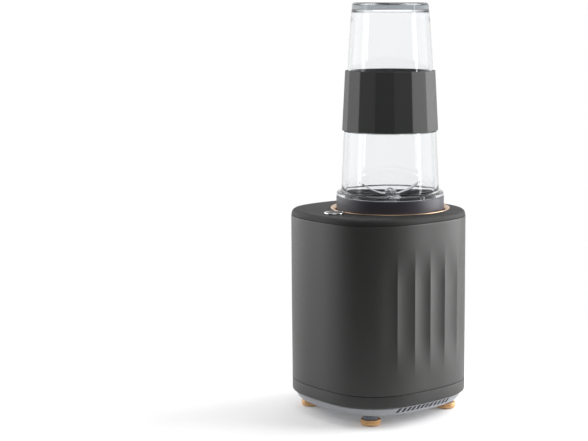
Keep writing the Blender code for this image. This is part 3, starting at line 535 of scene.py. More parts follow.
@dataclass(frozen=True)
class Turned:
    """Metal turned on an upright axis: fine rings round the axis that catch the light, and faint stains."""

    name: str
    colour: tuple[float, float, float]
    roughness: float = 0.28
    centre: tuple[float, float] = (0.0, 0.0)
    rings: float = 2400.0
    metallic: float = 1.0
    depth: float = 0.06

    def material(self) -> bpy.types.Material:
        """Builds the node tree: noise over (radius, height) gives the rings.

        Returns:
            The material.
        """
        nodes = Nodes(self.name)
        where = nodes.place(at=(self.centre[0] * MM, self.centre[1] * MM, 0.0))
        split = nodes.add("SeparateXYZ", {0: where})
        flat = nodes.add("CombineXYZ", {0: split.outputs[0], 1: split.outputs[1]}).outputs[0]
        radius = nodes.add("VectorMath", {0: flat}, operation="LENGTH").outputs["Value"]
        rings = nodes.add("CombineXYZ", {0: radius, 1: split.outputs[2]}).outputs[0]
        scratch = nodes.noise(rings, self.rings, 3.0, 0.7)
        stain = nodes.noise(where, 60.0, 4.0)
        colour = nodes.blend(scratch, tint(self.colour, 0.82), tint(self.colour, 1.12))
        colour = nodes.blend(nodes.between(stain, 0.4, 0.8, 0.0, 0.35), colour, tint(self.colour, 0.75))
        roughness = nodes.between(scratch, 0.3, 0.7, self.roughness - 0.07, self.roughness + 0.08)
        nodes.bump(scratch, self.depth, GRAIN_DEPTH)
        return nodes.shade(Base_Color=colour, Roughness=roughness, Metallic=self.metallic)


@dataclass(frozen=True)
class Brushed:
    """Sheet or bar metal brushed one way."""

    name: str
    colour: tuple[float, float, float]
    roughness: float = 0.3
    stretch: tuple[float, float, float] = (60.0, 2200.0, 2200.0)
    metallic: float = 1.0

    def material(self) -> bpy.types.Material:
        """Builds the node tree: noise stretched along the brushing.

        Returns:
            The material.
        """
        nodes = Nodes(self.name)
        lines = nodes.noise(nodes.place(self.stretch), 1.0, 3.0, 0.65)
        cloud = nodes.noise(nodes.place(), 90.0, 3.0)
        colour = nodes.blend(lines, tint(self.colour, 0.8), tint(self.colour, 1.12))
        roughness = nodes.between(cloud, 0.3, 0.7, self.roughness - 0.06, self.roughness + 0.08)
        nodes.bump(lines, 0.08, GRAIN_DEPTH)
        return nodes.shade(Base_Color=colour, Roughness=roughness, Metallic=self.metallic)


@dataclass(frozen=True)
class ClearPlastic:
    """Clear copolyester: nearly colourless, with the faintest haze and flow marks, and painted shade that
    darkens it where it is seen edge-on.
    """

    name: str
    colour: tuple[float, float, float] = (0.985, 0.99, 0.992)
    edge_on_shade_colour: tuple[float, float, float] = (0.42, 0.44, 0.46)
    ior: float = 1.5
    depth_colour: tuple[float, float, float] = (0.80, 0.815, 0.825)
    density: float = 90.0

    def material(self) -> bpy.types.Material:
        """Builds the node tree.

        Returns:
            The material.
        """
        nodes = Nodes(self.name)
        where = nodes.place()
        haze = nodes.noise(where, 70.0, 3.0)
        flow = nodes.noise(nodes.place((40.0, 40.0, 9.0)), 1.0, 2.0)
        face = nodes.blend(haze, self.colour, tint(self.colour, 0.985))
        # Painted shade: the colour turns grey where the wall is seen edge-on, standing in for dark refracted
        # edges.
        grazing = nodes.add("LayerWeight", {"Blend": 0.5}).outputs["Facing"]
        colour = nodes.blend(nodes.between(grazing, 0.62, 0.97, 0.0, 1.0), face, self.edge_on_shade_colour)
        roughness = nodes.between(haze, 0.4, 0.8, 0.012, 0.05)
        nodes.bump(flow, 0.05, 0.0006)
        inside = nodes.add("VolumeAbsorption", {"Color": (*self.depth_colour, 1.0), "Density": self.density})
        nodes.feed(nodes.tree.nodes["Material Output"].inputs["Volume"], inside.outputs[0])
        return nodes.shade(Base_Color=colour, Roughness=roughness, IOR=self.ior, Transmission_Weight=1.0)


@dataclass(frozen=True)
class Rubber:
    """Soft rubber or silicone: matt, dusty, with a fine pebble."""

    name: str
    colour: tuple[float, float, float]
    roughness: float = 0.75

    def material(self) -> bpy.types.Material:
        """Builds the node tree.

        Returns:
            The material.
        """
        nodes = Nodes(self.name)
        where = nodes.place()
        pebble = nodes.add("TexVoronoi", {"Vector": where, "Scale": 1500.0}).outputs[0]
        dust = nodes.noise(where, 120.0, 4.0)
        colour = nodes.blend(nodes.between(dust, 0.4, 0.8, 0.0, 0.5), self.colour, tint(self.colour, 1.9))
        roughness = nodes.between(dust, 0.3, 0.7, self.roughness - 0.1, self.roughness + 0.1)
        nodes.bump(pebble, 0.15, GRAIN_DEPTH)
        return nodes.shade(Base_Color=colour, Roughness=roughness)


@dataclass(frozen=True)
class Banded:
    """Material in fine layers along Z: laminations or wound wire, with dark lines between them."""

    name: str
    colour: tuple[float, float, float]
    pitch: float
    roughness: float = 0.45
    metallic: float = 1.0

    def material(self) -> bpy.types.Material:
        """Builds the node tree: a triangular wave along Z, of the given pitch in millimetres.

        Returns:
            The material.
        """
        nodes = Nodes(self.name)
        where = nodes.place()
        height = nodes.add("SeparateXYZ", {0: where}).outputs[2]
        wave = nodes.add("Math", {0: height, 1: self.pitch * MM}, operation="PINGPONG").outputs[0]
        band = nodes.between(wave, 0.0, self.pitch * MM, 0.0, 1.0)
        cloud = nodes.noise(where, 200.0, 3.0)
        line = nodes.between(band, 0.0, 0.35, 0.0, 1.0)
        colour = nodes.blend(line, tint(self.colour, 0.3), tint(self.colour, 1.05))
        colour = nodes.blend(nodes.between(cloud, 0.45, 0.8, 0.0, 0.4), colour, tint(self.colour, 0.7))
        nodes.bump(band, 0.3, 0.0002)
        return nodes.shade(Base_Color=colour, Roughness=self.roughness, Metallic=self.metallic)


@dataclass(frozen=True)
class CircuitBoard:
    """Green solder resist over copper tracks."""

    name: str

    def material(self) -> bpy.types.Material:
        """Builds the node tree: rows of tracks with the odd pad.

        Returns:
            The material.
        """
        nodes = Nodes(self.name)
        where = nodes.place()
        inputs = {"Vector": where, "Scale": 260.0, "Mortar Size": 0.03, "Color1": (0.012, 0.12, 0.05, 1.0),
                  "Color2": (0.02, 0.17, 0.07, 1.0), "Mortar": (0.05, 0.26, 0.12, 1.0)}
        tracks = nodes.add("TexBrick", inputs).outputs[0]
        pads = nodes.add("TexVoronoi", {"Vector": where, "Scale": 240.0}).outputs[0]
        colour = nodes.blend(nodes.between(pads, 0.12, 0.16, 1.0, 0.0), tracks, (0.55, 0.5, 0.42))
        nodes.bump(pads, 0.1, 0.0002)
        return nodes.shade(Base_Color=colour, Roughness=0.4)


class Palette(Enum):
    """The finishes that more than one piece shares."""

    SHELL = Moulded("graphite_shell", (0.0235, 0.0235, 0.0226), 0.45)
    DECK = Moulded("graphite_deck", (0.0198, 0.0198, 0.0190), 0.58, specular=0.24)
    SLEEVE = Moulded("sleeve_grip", (0.034, 0.035, 0.0345), 0.5, specular=0.36)
    TRAY = Moulded("pale_tray", (0.29, 0.295, 0.32), 0.42, 0.04)
    COLLAR = Moulded("collar_moulding", (0.046, 0.043, 0.056), 0.44, 0.03, specular=0.42)
    # Painted shade: the feet's necks take the dark blue-grey of the tray's shadow.
    STEM_SHADE = Moulded("foot_stem_painted_shade", (0.11, 0.12, 0.15), 0.4)
    BLACK = Moulded("black_moulding", (0.018, 0.018, 0.02), 0.45)
    SWITCH = Moulded("switch_moulding", (0.03, 0.03, 0.034), 0.35)
    PINS = Moulded("pin_moulding", (0.5, 0.5, 0.5), 0.35)
    CLEAR = ClearPlastic("clear_cup")
    PAD = Rubber("foot_rubber", (0.03, 0.03, 0.03))
    GLAND = Rubber("gland_rubber", (0.02, 0.02, 0.022))
    MOUNT = Rubber("mount_rubber", (0.025, 0.024, 0.024))
    SILICONE = Rubber("gasket_silicone", (0.45, 0.46, 0.48), 0.5)
    BLADE = Brushed("blade_steel", (0.62, 0.63, 0.65), 0.22)
    SCREW = Brushed("screw_zinc", (0.6, 0.6, 0.58), 0.35)
    SPRING = Brushed("spring_steel", (0.5, 0.5, 0.52), 0.3)
    SHAFT = Brushed("ground_shaft", (0.66, 0.67, 0.69), 0.18, (2200.0, 2200.0, 80.0))
    BRACKET = Brushed("cast_bracket", (0.55, 0.56, 0.58), 0.5, (500.0, 500.0, 500.0))
    LAMINATION = Banded("steel_laminations", (0.24, 0.24, 0.26), 0.5)
    WIRE = Banded("enamelled_wire", (0.62, 0.24, 0.09), 0.45, 0.35)
    COMMUTATOR = Banded("commutator_copper", (0.72, 0.36, 0.2), 1.4, 0.3)
    BOARD = CircuitBoard("circuit_board")


@dataclass
class Wardrobe:
    """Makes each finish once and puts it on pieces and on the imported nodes."""

    packed: dict[str, bpy.types.Object]
    made: dict[str, bpy.types.Material] = field(default_factory=dict)

    def cloth(self, finish: object) -> bpy.types.Material:
        """The material of a finish or a palette entry, made on first use.

        Args:
            finish: a finish, or a palette entry that holds one.

        Returns:
            The material.
        """
        spec = finish.value if isinstance(finish, Palette) else finish
        if spec.name not in self.made:
            self.made[spec.name] = spec.material()
        return self.made[spec.name]

    def dress(self, piece: bpy.types.Object, finish: object, body: str, slot: str, *nodes: str) -> None:
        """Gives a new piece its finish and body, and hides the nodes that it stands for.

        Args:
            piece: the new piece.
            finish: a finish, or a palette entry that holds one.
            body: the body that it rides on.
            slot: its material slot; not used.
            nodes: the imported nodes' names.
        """
        piece.data.materials.clear()
        piece.data.materials.append(self.cloth(finish))
        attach(piece, body)
        if nodes:
            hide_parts(*nodes)
        LOG.info("%s rides on %s with %d faces", piece.name, body, len(piece.data.polygons))

    def keep(self, finish: object, *nodes: str) -> None:
        """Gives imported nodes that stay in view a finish.

        Args:
            finish: a finish, or a palette entry that holds one.
            nodes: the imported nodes' names.
        """
        for node in nodes:
            for slot in self.packed[node].material_slots:
                slot.material = self.cloth(finish)
            LOG.info("%s keeps its solid", node)


# ---------------------------------------------------------------- base


@dataclass
class BaseShell:
    """The squared shell: pleated housing, lower band, deck and the vented tray."""

    wardrobe: Wardrobe
    width: float = 134.0
    depth: float = 136.0
    power: float = 2.75
    wall: float = 2.6
    pleat_pitch: float = 16.4
    pleat_depth: float = 1.35
    pleats: int = 4
    pleat_start: float = 11.0
    pleat_end: float = 15.0
    pleat_fade: float = 38.0
    pleat_sharp: float = 24.0
    seam: float = 0.35
    gap: float = 0.3
    vents: int = 12
    vent_pitch: float = 4.7
    vent_width: float = 2.8
    vent_middle: float = -3.0
    gland_hole: float = 7.3
    shelf: float = 2.5
    boss: tuple[float, float] = (2.1, 4.5)
    tray_inset: float = 2.4

    def __post_init__(self) -> None:
        """Lays out the directions, from the middle, in which every ring of the shell has a point."""
        half = self.pleats / 2 * self.pleat_pitch + self.pleat_pitch
        depth = np.linspace(-half, half, (self.pleats + 2) * 22 + 1)
        side = np.arctan2(depth, self.across(depth, 0.0))
        end = side[-1]
        back = np.linspace(end, pi - end, 66)[1:-1]
        right_back = np.concatenate([side, back])
        self.angles = np.concatenate([right_back, right_back + pi])

    def across(self, y: np.ndarray, inset: float) -> np.ndarray:
        """Half the width at a depth: x = a (1 - |y/b|^n)^(1/n), with a and b less the inset."""
        a, b = self.width / 2 - inset, self.depth / 2 - inset
        return a * (1 - np.abs(y / b) ** self.power) ** (1 / self.power)

    def dip(self, y: np.ndarray) -> np.ndarray:
        """How far the pleats go in: 1 - (2u - 1)^2 between cusps, then a last half pleat that dies away.

        Args:
            y: the depths.

        Returns:
            How far the wall goes in at each depth.
        """
        half = self.pleats / 2 * self.pleat_pitch
        u = np.abs(y) / self.pleat_pitch % 1.0
        inner = 1 - (2 * u - 1) ** 2
        v = np.clip((np.abs(y) - half) / self.pleat_pitch, 0.0, 1.0)
        outer = 0.75 * 6.75 * v * (1 - v) ** 2
        return self.pleat_depth * np.where(np.abs(y) <= half, inner, outer)

    def rings(self, levels: Sequence[tuple[float, ...]]) -> np.ndarray:
        """Rings of the squared outline, r(a) = (|cos a / hx|^n + |sin a / hy|^n)^(-1/n).

        Args:
            levels: (inset, height) of each ring, with the pleats' share as a third number where they show.

        Returns:
            A grid of points, a row for each level.
        """
        rows = np.array([(*level, 0.0)[:3] for level in levels], float)
        inset, height, share = rows[:, 0:1], rows[:, 1:2], rows[:, 2:3]
        c, s = np.cos(self.angles), np.sin(self.angles)
        half_width, half_depth = self.width / 2 - inset, self.depth / 2 - inset
        terms = np.abs(c / half_width) ** self.power + np.abs(s / half_depth) ** self.power
        radius = terms ** (-1 / self.power)
        x, y = radius * c, radius * s
        x = x - np.sign(x) * share * self.dip(y)
        return np.stack([x, y, np.broadcast_to(height, x.shape)], axis=-1)

    def around(self, radius: float, height: float, centre: tuple[float, float]) -> np.ndarray:
        """A circle with a point in the direction of each point of the outline, as one row.

        Args:
            radius: the circle's radius.
            height: its height.
            centre: where its middle stands in plan.

        Returns:
            The circle, as a grid of one row.
        """
        edge = self.rings([(0.6, height)])[0]
        facing = np.arctan2(edge[:, 1] - centre[1], edge[:, 0] - centre[0])
        circle = [centre[0] + radius * np.cos(facing), centre[1] + radius * np.sin(facing)]
        return np.stack([*circle, np.full(len(facing), height)], axis=-1)[None]

    def housing(self) -> bpy.types.Object:
        """The pleated wall: a rounded top edge, eased seams and an inner face that follows the outer one.

        Returns:
            The object.
        """
        bottom, top = high("lower_band") + self.gap, high("base_housing")
        heights = np.linspace(bottom + self.seam, top - self.seam, 118)
        rise = smoothstep((heights - bottom - self.pleat_start) / self.pleat_fade)
        fall = smoothstep((top - self.pleat_end - heights) / self.pleat_fade)
        outer = [(0.0, z, share) for z, share in zip(heights, rise * fall)]
        start = [(self.seam, bottom), (self.seam * 0.3, bottom + self.seam * 0.3)]
        end = [(self.seam * 0.3, top - self.seam * 0.3), (self.seam, top)]
        deep = self.wall + self.pleat_depth
        inner = [
            (self.wall, top), (self.wall, top - self.pleat_end - 4.0), (deep, top - self.pleat_end - 8.0),
            (deep, bottom + self.pleat_start + 8.0), (self.wall, bottom + self.pleat_start + 2.0),
            (self.wall, bottom),
        ]
        rows = self.rings([*start, *outer, *end, *inner])
        shell = Shape().grid(rows, close_rows=True).build("housing_shell", self.pleat_sharp)
        hole = self.plug(self.gland_hole, (low("cord_gland") + high("cord_gland")) / 2)
        return carved(shell, hole, self.pleat_sharp)

    def plug(self, radius: float, height: float) -> bpy.types.Object:
        """A round bar along Y through the back wall, which leaves the gland's hole.

        Args:
            radius: the circle's radius.
            height: its height.

        Returns:
            The object.
        """
        rows = revolved(np.array([[radius, self.depth / 2 - 8.0], [radius, self.depth / 2 + 4.0]]), turn(96))
        lying = np.stack([rows[..., 0], rows[..., 2], height + rows[..., 1]], axis=-1)
        return Shape().tube(lying).build("gland_cut")

    def inside(self, well: tuple[float, float], hole: float) -> bpy.types.Object:
        """The shelf that carries the well, and the bosses that the foot screws go into.

        Args:
            well: where the well's axis stands in plan.
            hole: the radius of the shelf's opening.

        Returns:
            The object.
        """
        top = low("blade_collar") + 1.5
        under = top - self.shelf
        edge = self.rings([(self.wall - 0.4, under), (self.wall - 0.4, top)])
        shelf = np.concatenate([edge, self.around(hole, top, well), self.around(hole, under, well)])
        shape = Shape().grid(shelf, close_rows=True)
        for number in range(1, 5):
            x, y = middle(f"foot_screw_{number}")
            floor = high(f"foot_{number}") + 3.0
            crown = high(f"foot_screw_{number}") + 5.0
            bore, boss = self.boss
            section = np.array([[bore, floor], [boss, floor], [boss, crown], [bore, crown]])
            shape.grid(revolved(section, turn(32), (x, y)), close_rows=True)
        return shape.build("housing_inside")

    def band(self) -> bpy.types.Object:
        """The plain band below the seam, with a soft lower edge and a flange that meets the tray.

        Returns:
            The object.
        """
        bottom, top = low("lower_band"), high("lower_band")
        section = eased(
            [(0.2, bottom, 0.8), (0.0, bottom + 1.6, 0.3), (0.0, top, self.seam), (self.wall, top),
             (self.wall, bottom + 2.0), (5.0, bottom + 2.0), (5.0, bottom)],
            True, 5,
        )
        return Shape().grid(
            self.rings([tuple(point) for point in section]), close_rows=True
        ).build("band_shell")

    def pocket(self) -> float:
        """The radius of the hole that the button sits in, which the ring's flange covers."""
        return reach("button_ring") - 0.9

    def deck(self, well: tuple[float, float], mouth: float, button: tuple[float, float]) -> bpy.types.Object:
        """The top plate: a broad soft shoulder, a fine parting line, a flat top and the button hole.

        Args:
            well: where the well's axis stands in plan.
            mouth: the radius of the deck's opening.
            button: where the button stands in plan.

        Returns:
            The object.
        """
        bottom, top = high("base_housing") + 0.08, high("top_deck")
        pocket = self.pocket()
        rim = eased(
            [(0.45, bottom), (0.2, bottom + 0.2, 0.1), (0.2, top - 3.6, 0.8), (0.9, top - 1.2, 1.0),
             (2.5, top, 0.2),
             (2.62, top - 0.3), (2.8, top - 0.3), (2.92, top)],
            False, 6,
        )
        rows = [self.rings([tuple(point) for point in rim])]
        edge, circle = rows[0][-1:], self.around(mouth, top, well)
        share = np.array([0.25, 0.5, 0.75])[:, None, None]
        rows += [edge + (circle - edge) * share, circle, self.around(mouth + 0.01, bottom, well)]
        plate = Shape().grid(np.concatenate(rows), close_rows=True).build("deck_plate")
        bar = [(0.4, bottom - 3), (pocket, bottom - 3), (pocket, top + 3), (0.4, top + 3)]
        return carved(plate, lathe("deck_cut", bar, button, 96, False))

    def button_pocket(self, button: tuple[float, float]) -> bpy.types.Object:
        """The cup under the button, with a hole for the stem.

        Args:
            button: where the button stands in plan.

        Returns:
            The object.
        """
        floor = low("top_deck")
        top = high("top_deck") - 0.7
        pocket = self.pocket()
        profile = [
            (2.8, floor), (pocket + 1.6, floor, 0.6), (pocket + 1.6, top), (pocket + 0.02, top),
            (pocket + 0.02, floor + 1.8, 0.4), (2.8, floor + 1.8),
        ]
        return lathe("button_pocket", profile, button, 96)

    def tray(self) -> bpy.types.Object:
        """The pale bottom: a rounded bowl section with a row of slanted slots along each side wall.

        Returns:
            The object.
        """
        bottom, top = low("base_tray"), high("base_tray")
        inset = self.tray_inset
        outside = eased(
            [(inset + 30.0, bottom), (inset + 6.6, bottom, 2.0), (inset + 3.6, bottom + 1.2, 1.6),
             (inset + 1.2, bottom + 4.2, 1.8), (inset, top - 0.6, 0.4), (inset + 0.4, top)],
            False, 6,
        )
        inside = [(inset + 2.2, top), (inset + 3.4, bottom + 4.4), (inset + 5.2, bottom + 2.4),
                  (inset + 30.0, bottom + 2.4)]
        rows = self.rings([tuple(point) for point in outside] + inside)
        bowl = Shape().tube(rows).build("tray_bowl")
        return carved(bowl, self.slots(bottom + 3.6, top - 1.0))

    def slots(self, bottom: float, top: float) -> bpy.types.Object:
        """The cutter for the vents: slanted blocks through both side walls.

        Args:
            bottom: the lowest height.
            top: the highest height.

        Returns:
            The object.
        """
        lean = (top - bottom) * 0.7
        cutter = Shape()
        for side in (-1, 1):
            near, far = side * (self.width / 2 - 14.0), side * (self.width / 2 + 2.0)
            for i in range(self.vents):
                y = self.vent_middle + (i - (self.vents - 1) / 2) * self.vent_pitch
                rows = []
                for z, middle_y in ((bottom, y - lean / 2), (top, y + lean / 2)):
                    a, b = middle_y - self.vent_width / 2, middle_y + self.vent_width / 2
                    rows.append([(near, a, z), (far, a, z), (far, b, z), (near, b, z)])
                cutter.tube(np.array(rows, float))
        return cutter.build("vent_cut")

    def build(self, well: tuple[float, float], mouth: float, button: tuple[float, float]) -> None:
        """Builds and dresses every piece of the shell.

        Args:
            well: where the well's axis stands in plan.
            mouth: the radius of the deck's opening.
            button: where the button stands in plan.
        """
        dress = self.wardrobe.dress
        dress(self.housing(), Palette.SHELL, "base", "graphite_plastic", "base_housing")
        dress(self.inside(well, reach("cup_well") - 1.0), Palette.BLACK, "base", "graphite_plastic")
        dress(self.band(), Palette.SHELL, "base", "graphite_plastic", "lower_band")
        dress(self.deck(well, mouth, button), Palette.DECK, "base", "graphite_plastic", "top_deck")
        dress(self.button_pocket(button), Palette.BLACK, "base", "graphite_plastic")
        dress(self.tray(), Palette.TRAY, "base", "light_grey_plastic", "base_tray")


@dataclass
class Feet:
    """Four turned feet in a copper tone, with a groove round each, and their rubber pads."""

    wardrobe: Wardrobe
    groove: float = 0.5
    neck: float = 3.0

    def foot(self, number: int) -> bpy.types.Object:
        """One foot: a grooved disc under a narrower neck.

        Args:
            number: which one of the set, counted from 1.

        Returns:
            The object.
        """
        node = f"foot_{number}"
        bottom, top, radius = low(node), high(node), reach(node)
        pad = reach(f"foot_pad_{number}") + 0.3
        waist, crown = bottom + 2.9, top - self.neck
        profile = [
            (2.2, crown), (2.2, bottom + 3.8), (pad, bottom + 1.4), (pad, bottom),
            (radius - 0.5, bottom, 0.3),
            (radius, bottom + 0.7, 0.5), (radius, waist - 0.4, 0.15), (radius - self.groove, waist, 0.2),
            (radius, waist + 0.4, 0.15), (radius, crown - 0.5, 0.4), (radius - 0.6, crown, 0.3),
        ]
        return lathe(f"turned_foot_{number}", profile, middle(node), 96, True, 2.0)

    def stem(self, number: int) -> bpy.types.Object:
        """The neck between the turned disc and the tray, in a dark blue-grey that is painted shade: the
        tray's shadow on it.

        Args:
            number: which one of the set, counted from 1.

        Returns:
            The object.
        """
        node = f"foot_{number}"
        top, radius = high(node), reach(node) - 1.9
        profile = [(2.2, top - self.neck + 0.05), (radius, top - self.neck + 0.05), (radius, top), (2.2, top)]
        return lathe(f"foot_stem_{number}", profile, middle(node), 64)

    def pad(self, number: int) -> bpy.types.Object:
        """One pad, with two rings pressed into its face.

        Args:
            number: which one of the set, counted from 1.

        Returns:
            The object.
        """
        node = f"foot_pad_{number}"
        bottom, top, radius = low(node), high(node), reach(node)
        profile = [
            (0.3, bottom + 0.4), (1.6, bottom + 0.4), (2.0, bottom, 0.2), (3.6, bottom, 0.2),
            (3.9, bottom + 0.4),
            (4.5, bottom + 0.4), (4.8, bottom, 0.2), (radius, bottom, 0.4), (radius, top), (0.3, top),
        ]
        return lathe(f"rubber_pad_{number}", profile, middle(node), 64, True)

    def build(self) -> None:
        """Builds and dresses the feet and pads."""
        for number in range(1, 5):
            place = middle(f"foot_{number}")
            finish = Turned(f"foot_copper_{number}", (0.68, 0.40, 0.18), 0.36, place, 1500.0, 0.25)
            self.wardrobe.dress(self.foot(number), finish, "base", "copper_finish", f"foot_{number}")
            # The neck is real; its dark blue-grey is painted shade from the tray above.
            self.wardrobe.dress(self.stem(number), Palette.STEM_SHADE, "base", "light_grey_plastic")
            self.wardrobe.dress(self.pad(number), Palette.PAD, "base", "rubber", f"foot_pad_{number}")
            self.wardrobe.keep(Palette.SCREW, f"foot_screw_{number}")


@dataclass
class Well:
    """The round well: copper ring, bowl with keys and pin holes, and interlock pins."""

    wardrobe: Wardrobe
    keys: tuple[float, ...] = KEY_ANGLES
    pins: tuple[float, ...] = (30.0, 150.0, 270.0)
    pin_circle: float = 43.0

    def ring(self, axis: tuple[float, float]) -> bpy.types.Object:
        """The copper ring: a flat flange with a bevelled inner edge, on a thin sleeve.

        Args:
            axis: where the axis stands in plan.

        Returns:
            The object.
        """
        bottom, top = low("accent_ring"), high("accent_ring")
        outer = reach("accent_ring")
        inner = outer - 4.0
        profile = [
            (inner, bottom), (inner + 1.2, bottom), (inner + 1.2, top - 2.5), (outer, top - 2.5),
            (outer, top, 0.35), (outer - 1.3, top, 0.25), (inner + 0.3, top - 1.9, 0.5),
            (inner, top - 3.2, 0.4),
        ]
        return lathe("well_ring", profile, axis, 192)

    def bowl(self, axis: tuple[float, float]) -> bpy.types.Object:
        """The well's wall and floor, with the drive hole and three pin holes.

        Args:
            axis: where the axis stands in plan.

        Returns:
            The object.
        """
        floor, top, outer = high("motor_mount_1") + 0.3, high("cup_well"), reach("cup_well") - 1.5
        inner = reach("accent_ring") - 4.0
        face = floor + 2.5
        profile = [
            (9.0, floor), (outer, floor), (outer, top), (inner + 1.5, top), (inner + 1.5, top - 9.0),
            (inner + 0.2, top - 9.0), (inner + 0.2, face, 1.2), (9.0, face, 0.4),
        ]
        bowl = lathe("well_bowl", profile, axis, 192)
        cutter = Shape()
        for angle in self.pins:
            x = axis[0] + self.pin_circle * cos(radians(angle))
            y = axis[1] + self.pin_circle * sin(radians(angle))
            rows = revolved(np.array([[2.2, floor - 2.0], [2.2, face + 4.0]]), turn(31), (x, y))
            cutter.tube(rows)
        return carved(bowl, cutter.build("pin_cut"))

    def ribs(self, axis: tuple[float, float], floor: float, top: float) -> bpy.types.Object:
        """The key ribs that stop the collar from turning.

        Args:
            axis: where the axis stands in plan.
            floor: the lowest height.
            top: the highest height.

        Returns:
            The object.
        """
        shape = Shape()
        for angle in self.keys:
            shape.tube(sector(40.0, 44.0, angle - 4.0, angle + 4.0, floor, top, axis))
        return shape.build("well_keys")

    def pin(self, number: int) -> bpy.types.Object:
        """One interlock pin, domed at its tip.

        Args:
            number: which one of the set, counted from 1.

        Returns:
            The object.
        """
        node = f"interlock_pin_{number}"
        bottom, top = low(node), high(node)
        profile = [
            (1.8, bottom, 0.2), (1.8, bottom + 1.0), (3.2, bottom + 1.0, 0.2), (3.2, bottom + 2.2, 0.2),
            (1.8, bottom + 2.2), (1.8, top, 0.7), (0.05, top),
        ]
        return lathe(f"domed_pin_{number}", profile, middle(node), 48, False, 1.5)

    def build(self, axis: tuple[float, float]) -> None:
        """Builds and dresses the well's pieces.

        Args:
            axis: where the axis stands in plan.
        """
        copper = Turned("ring_copper", (0.66, 0.46, 0.30), 0.30, axis, 2600.0)
        self.wardrobe.dress(self.ring(axis), copper, "base", "copper_finish", "accent_ring")
        bowl = self.bowl(axis)
        self.wardrobe.dress(bowl, Palette.BLACK, "base", "black_plastic", "cup_well")
        floor = high("motor_mount_1") + 2.8
        self.wardrobe.dress(
            self.ribs(axis, floor - 0.2, low("blade_collar") + 3.2), Palette.BLACK, "base", "black_plastic"
        )
        for number in range(1, 4):
            node = f"interlock_pin_{number}"
            self.wardrobe.dress(self.pin(number), Palette.PINS, "interlock", "light_grey_plastic", node)


@dataclass
class Coupler:
    """A toothed drive disc on a hub."""

    teeth: int = 6
    radius: float = COUPLER_RADIUS

    def shape(self, name: str, profile: Sequence[tuple[float, ...]], axis: tuple[float, float], inner: float,
              bottom: float, top: float, phase: float) -> bpy.types.Object:
        """The disc with its teeth.

        Args:
            name: the piece's name.
            profile: the disc and hub's section.
            axis: where the axis stands in plan.
            inner: the teeth's inner radius.
            bottom: the teeth's lowest height.
            top: their highest.
            phase: the angle of the first tooth, in degrees.

        Returns:
            The object.
        """
        line = eased(profile, True)
        shape = Shape().grid(revolved(line, turn(96), axis), close_rows=True)
        for i in range(self.teeth):
            at = phase + 360.0 / self.teeth * i
            shape.tube(sector(inner, self.radius - 0.1, at - 12, at + 12, bottom, top, axis))
        return shape.build(name)


@dataclass
class Controls:
    """The round button, its bright ring, its spring, and the hidden switch gear."""

    wardrobe: Wardrobe
    spring_turns: float = 2.5
    spring_wire: float = 0.35
    travel: float = 2.2

    def cap(self, place: tuple[float, float]) -> bpy.types.Object:
        """The cap: a shallow dish with a rounded edge, on its stem.

        Args:
            place: where the button stands in plan.

        Returns:
            The object.
        """
        top, bottom, radius = high("button_cap"), low("button_cap"), reach("button_cap")
        profile = [
            (2.4, bottom), (2.4, top - 2.2), (radius, top - 2.2, 0.2), (radius, top, 0.8),
            (radius - 1.6, top, 0.5),
            (radius * 0.5, top - 0.55, 1.5), (0.05, top - 0.7),
        ]
        return lathe("dished_button", profile, place, 128, False, 1.5)

    def ring(self, place: tuple[float, float]) -> bpy.types.Object:
        """The bright ring round the cap, with a rolled outer edge.

        Args:
            place: where the button stands in plan.

        Returns:
            The object.
        """
        top, bottom, outer = high("button_ring"), low("button_ring"), reach("button_ring")
        inner = reach("button_cap") + 0.4
        profile = [
            (inner, bottom), (outer - 1.2, bottom), (outer - 1.2, top - 0.8), (outer, top - 0.8, 0.15),
            (outer - 0.1, top, 0.5), (inner, top, 0.35),
        ]
        return lathe("bright_ring", profile, place, 128)

    def build(self, place: tuple[float, float]) -> None:
        """Builds and dresses the button, and dresses the switch gear.

        Args:
            place: where the button stands in plan.
        """
        chrome = Turned("ring_chrome", (0.82, 0.83, 0.84), 0.10, place, 900.0, 1.0, 0.015)
        cap = Moulded("button_cap_moulding", (0.05, 0.05, 0.05), 0.32)
        self.wardrobe.dress(self.cap(place), cap, "button", "graphite_plastic", "button_cap")
        self.wardrobe.dress(self.ring(place), chrome, "base", "chrome", "button_ring")
        self.wardrobe.keep(Palette.SWITCH, "button_switch", "interlock_switch")
        self.wardrobe.keep(Palette.BOARD, "control_board")

    def spring(self) -> None:
        """The coil under the cap, whose wire climbs by 3s^2 - 2s^3, so that both its ends lie flat."""
        lowest, highest, wire = low("button_spring"), high("button_spring"), self.spring_wire
        axis, radius = middle("button_spring"), reach("button_spring") - self.spring_wire
        share = np.linspace(0.0, 1.0, 240)[:, None]
        around = share * 2 * pi * self.spring_turns
        ring = turn(12)[None]
        climb = lowest + wire + (highest - lowest - 2 * wire) * smoothstep(share)
        rows = polar(radius + wire * np.cos(ring), around, climb + wire * np.sin(ring), axis)
        piece = Shape().tube(rows).build("coil_spring")
        self.wardrobe.dress(piece, Palette.SPRING, "base", "steel", "button_spring")
        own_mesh(piece)

    def gland(self) -> None:
        """The grommet at the back: a bore with two soft lips, lying along Y."""
        lowest, highest = (np.array(corner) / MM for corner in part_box("cord_gland"))
        height = (lowest[2] + highest[2]) / 2
        back, front, lip = highest[1], lowest[1], (highest[2] - lowest[2]) / 2
        profile = eased(
            [(3.7, 0.0, 0.6), (5.4, 0.0, 0.5), (6.4, 0.0, 0.3), (7.0, 0.6, 0.3), (7.0, 3.9), (lip, 3.9, 0.3),
             (lip, 5.7, 0.3), (5.3, back - front), (3.7, back - front)],
            True,
        )
        grid = revolved(profile, turn(96))
        turned_grid = np.stack([grid[..., 0], back - grid[..., 2], height + grid[..., 1]], axis=-1)
        piece = Shape().grid(turned_grid, close_rows=True).build("cord_grommet")
        self.wardrobe.dress(piece, Palette.GLAND, "base", "rubber", "cord_gland")


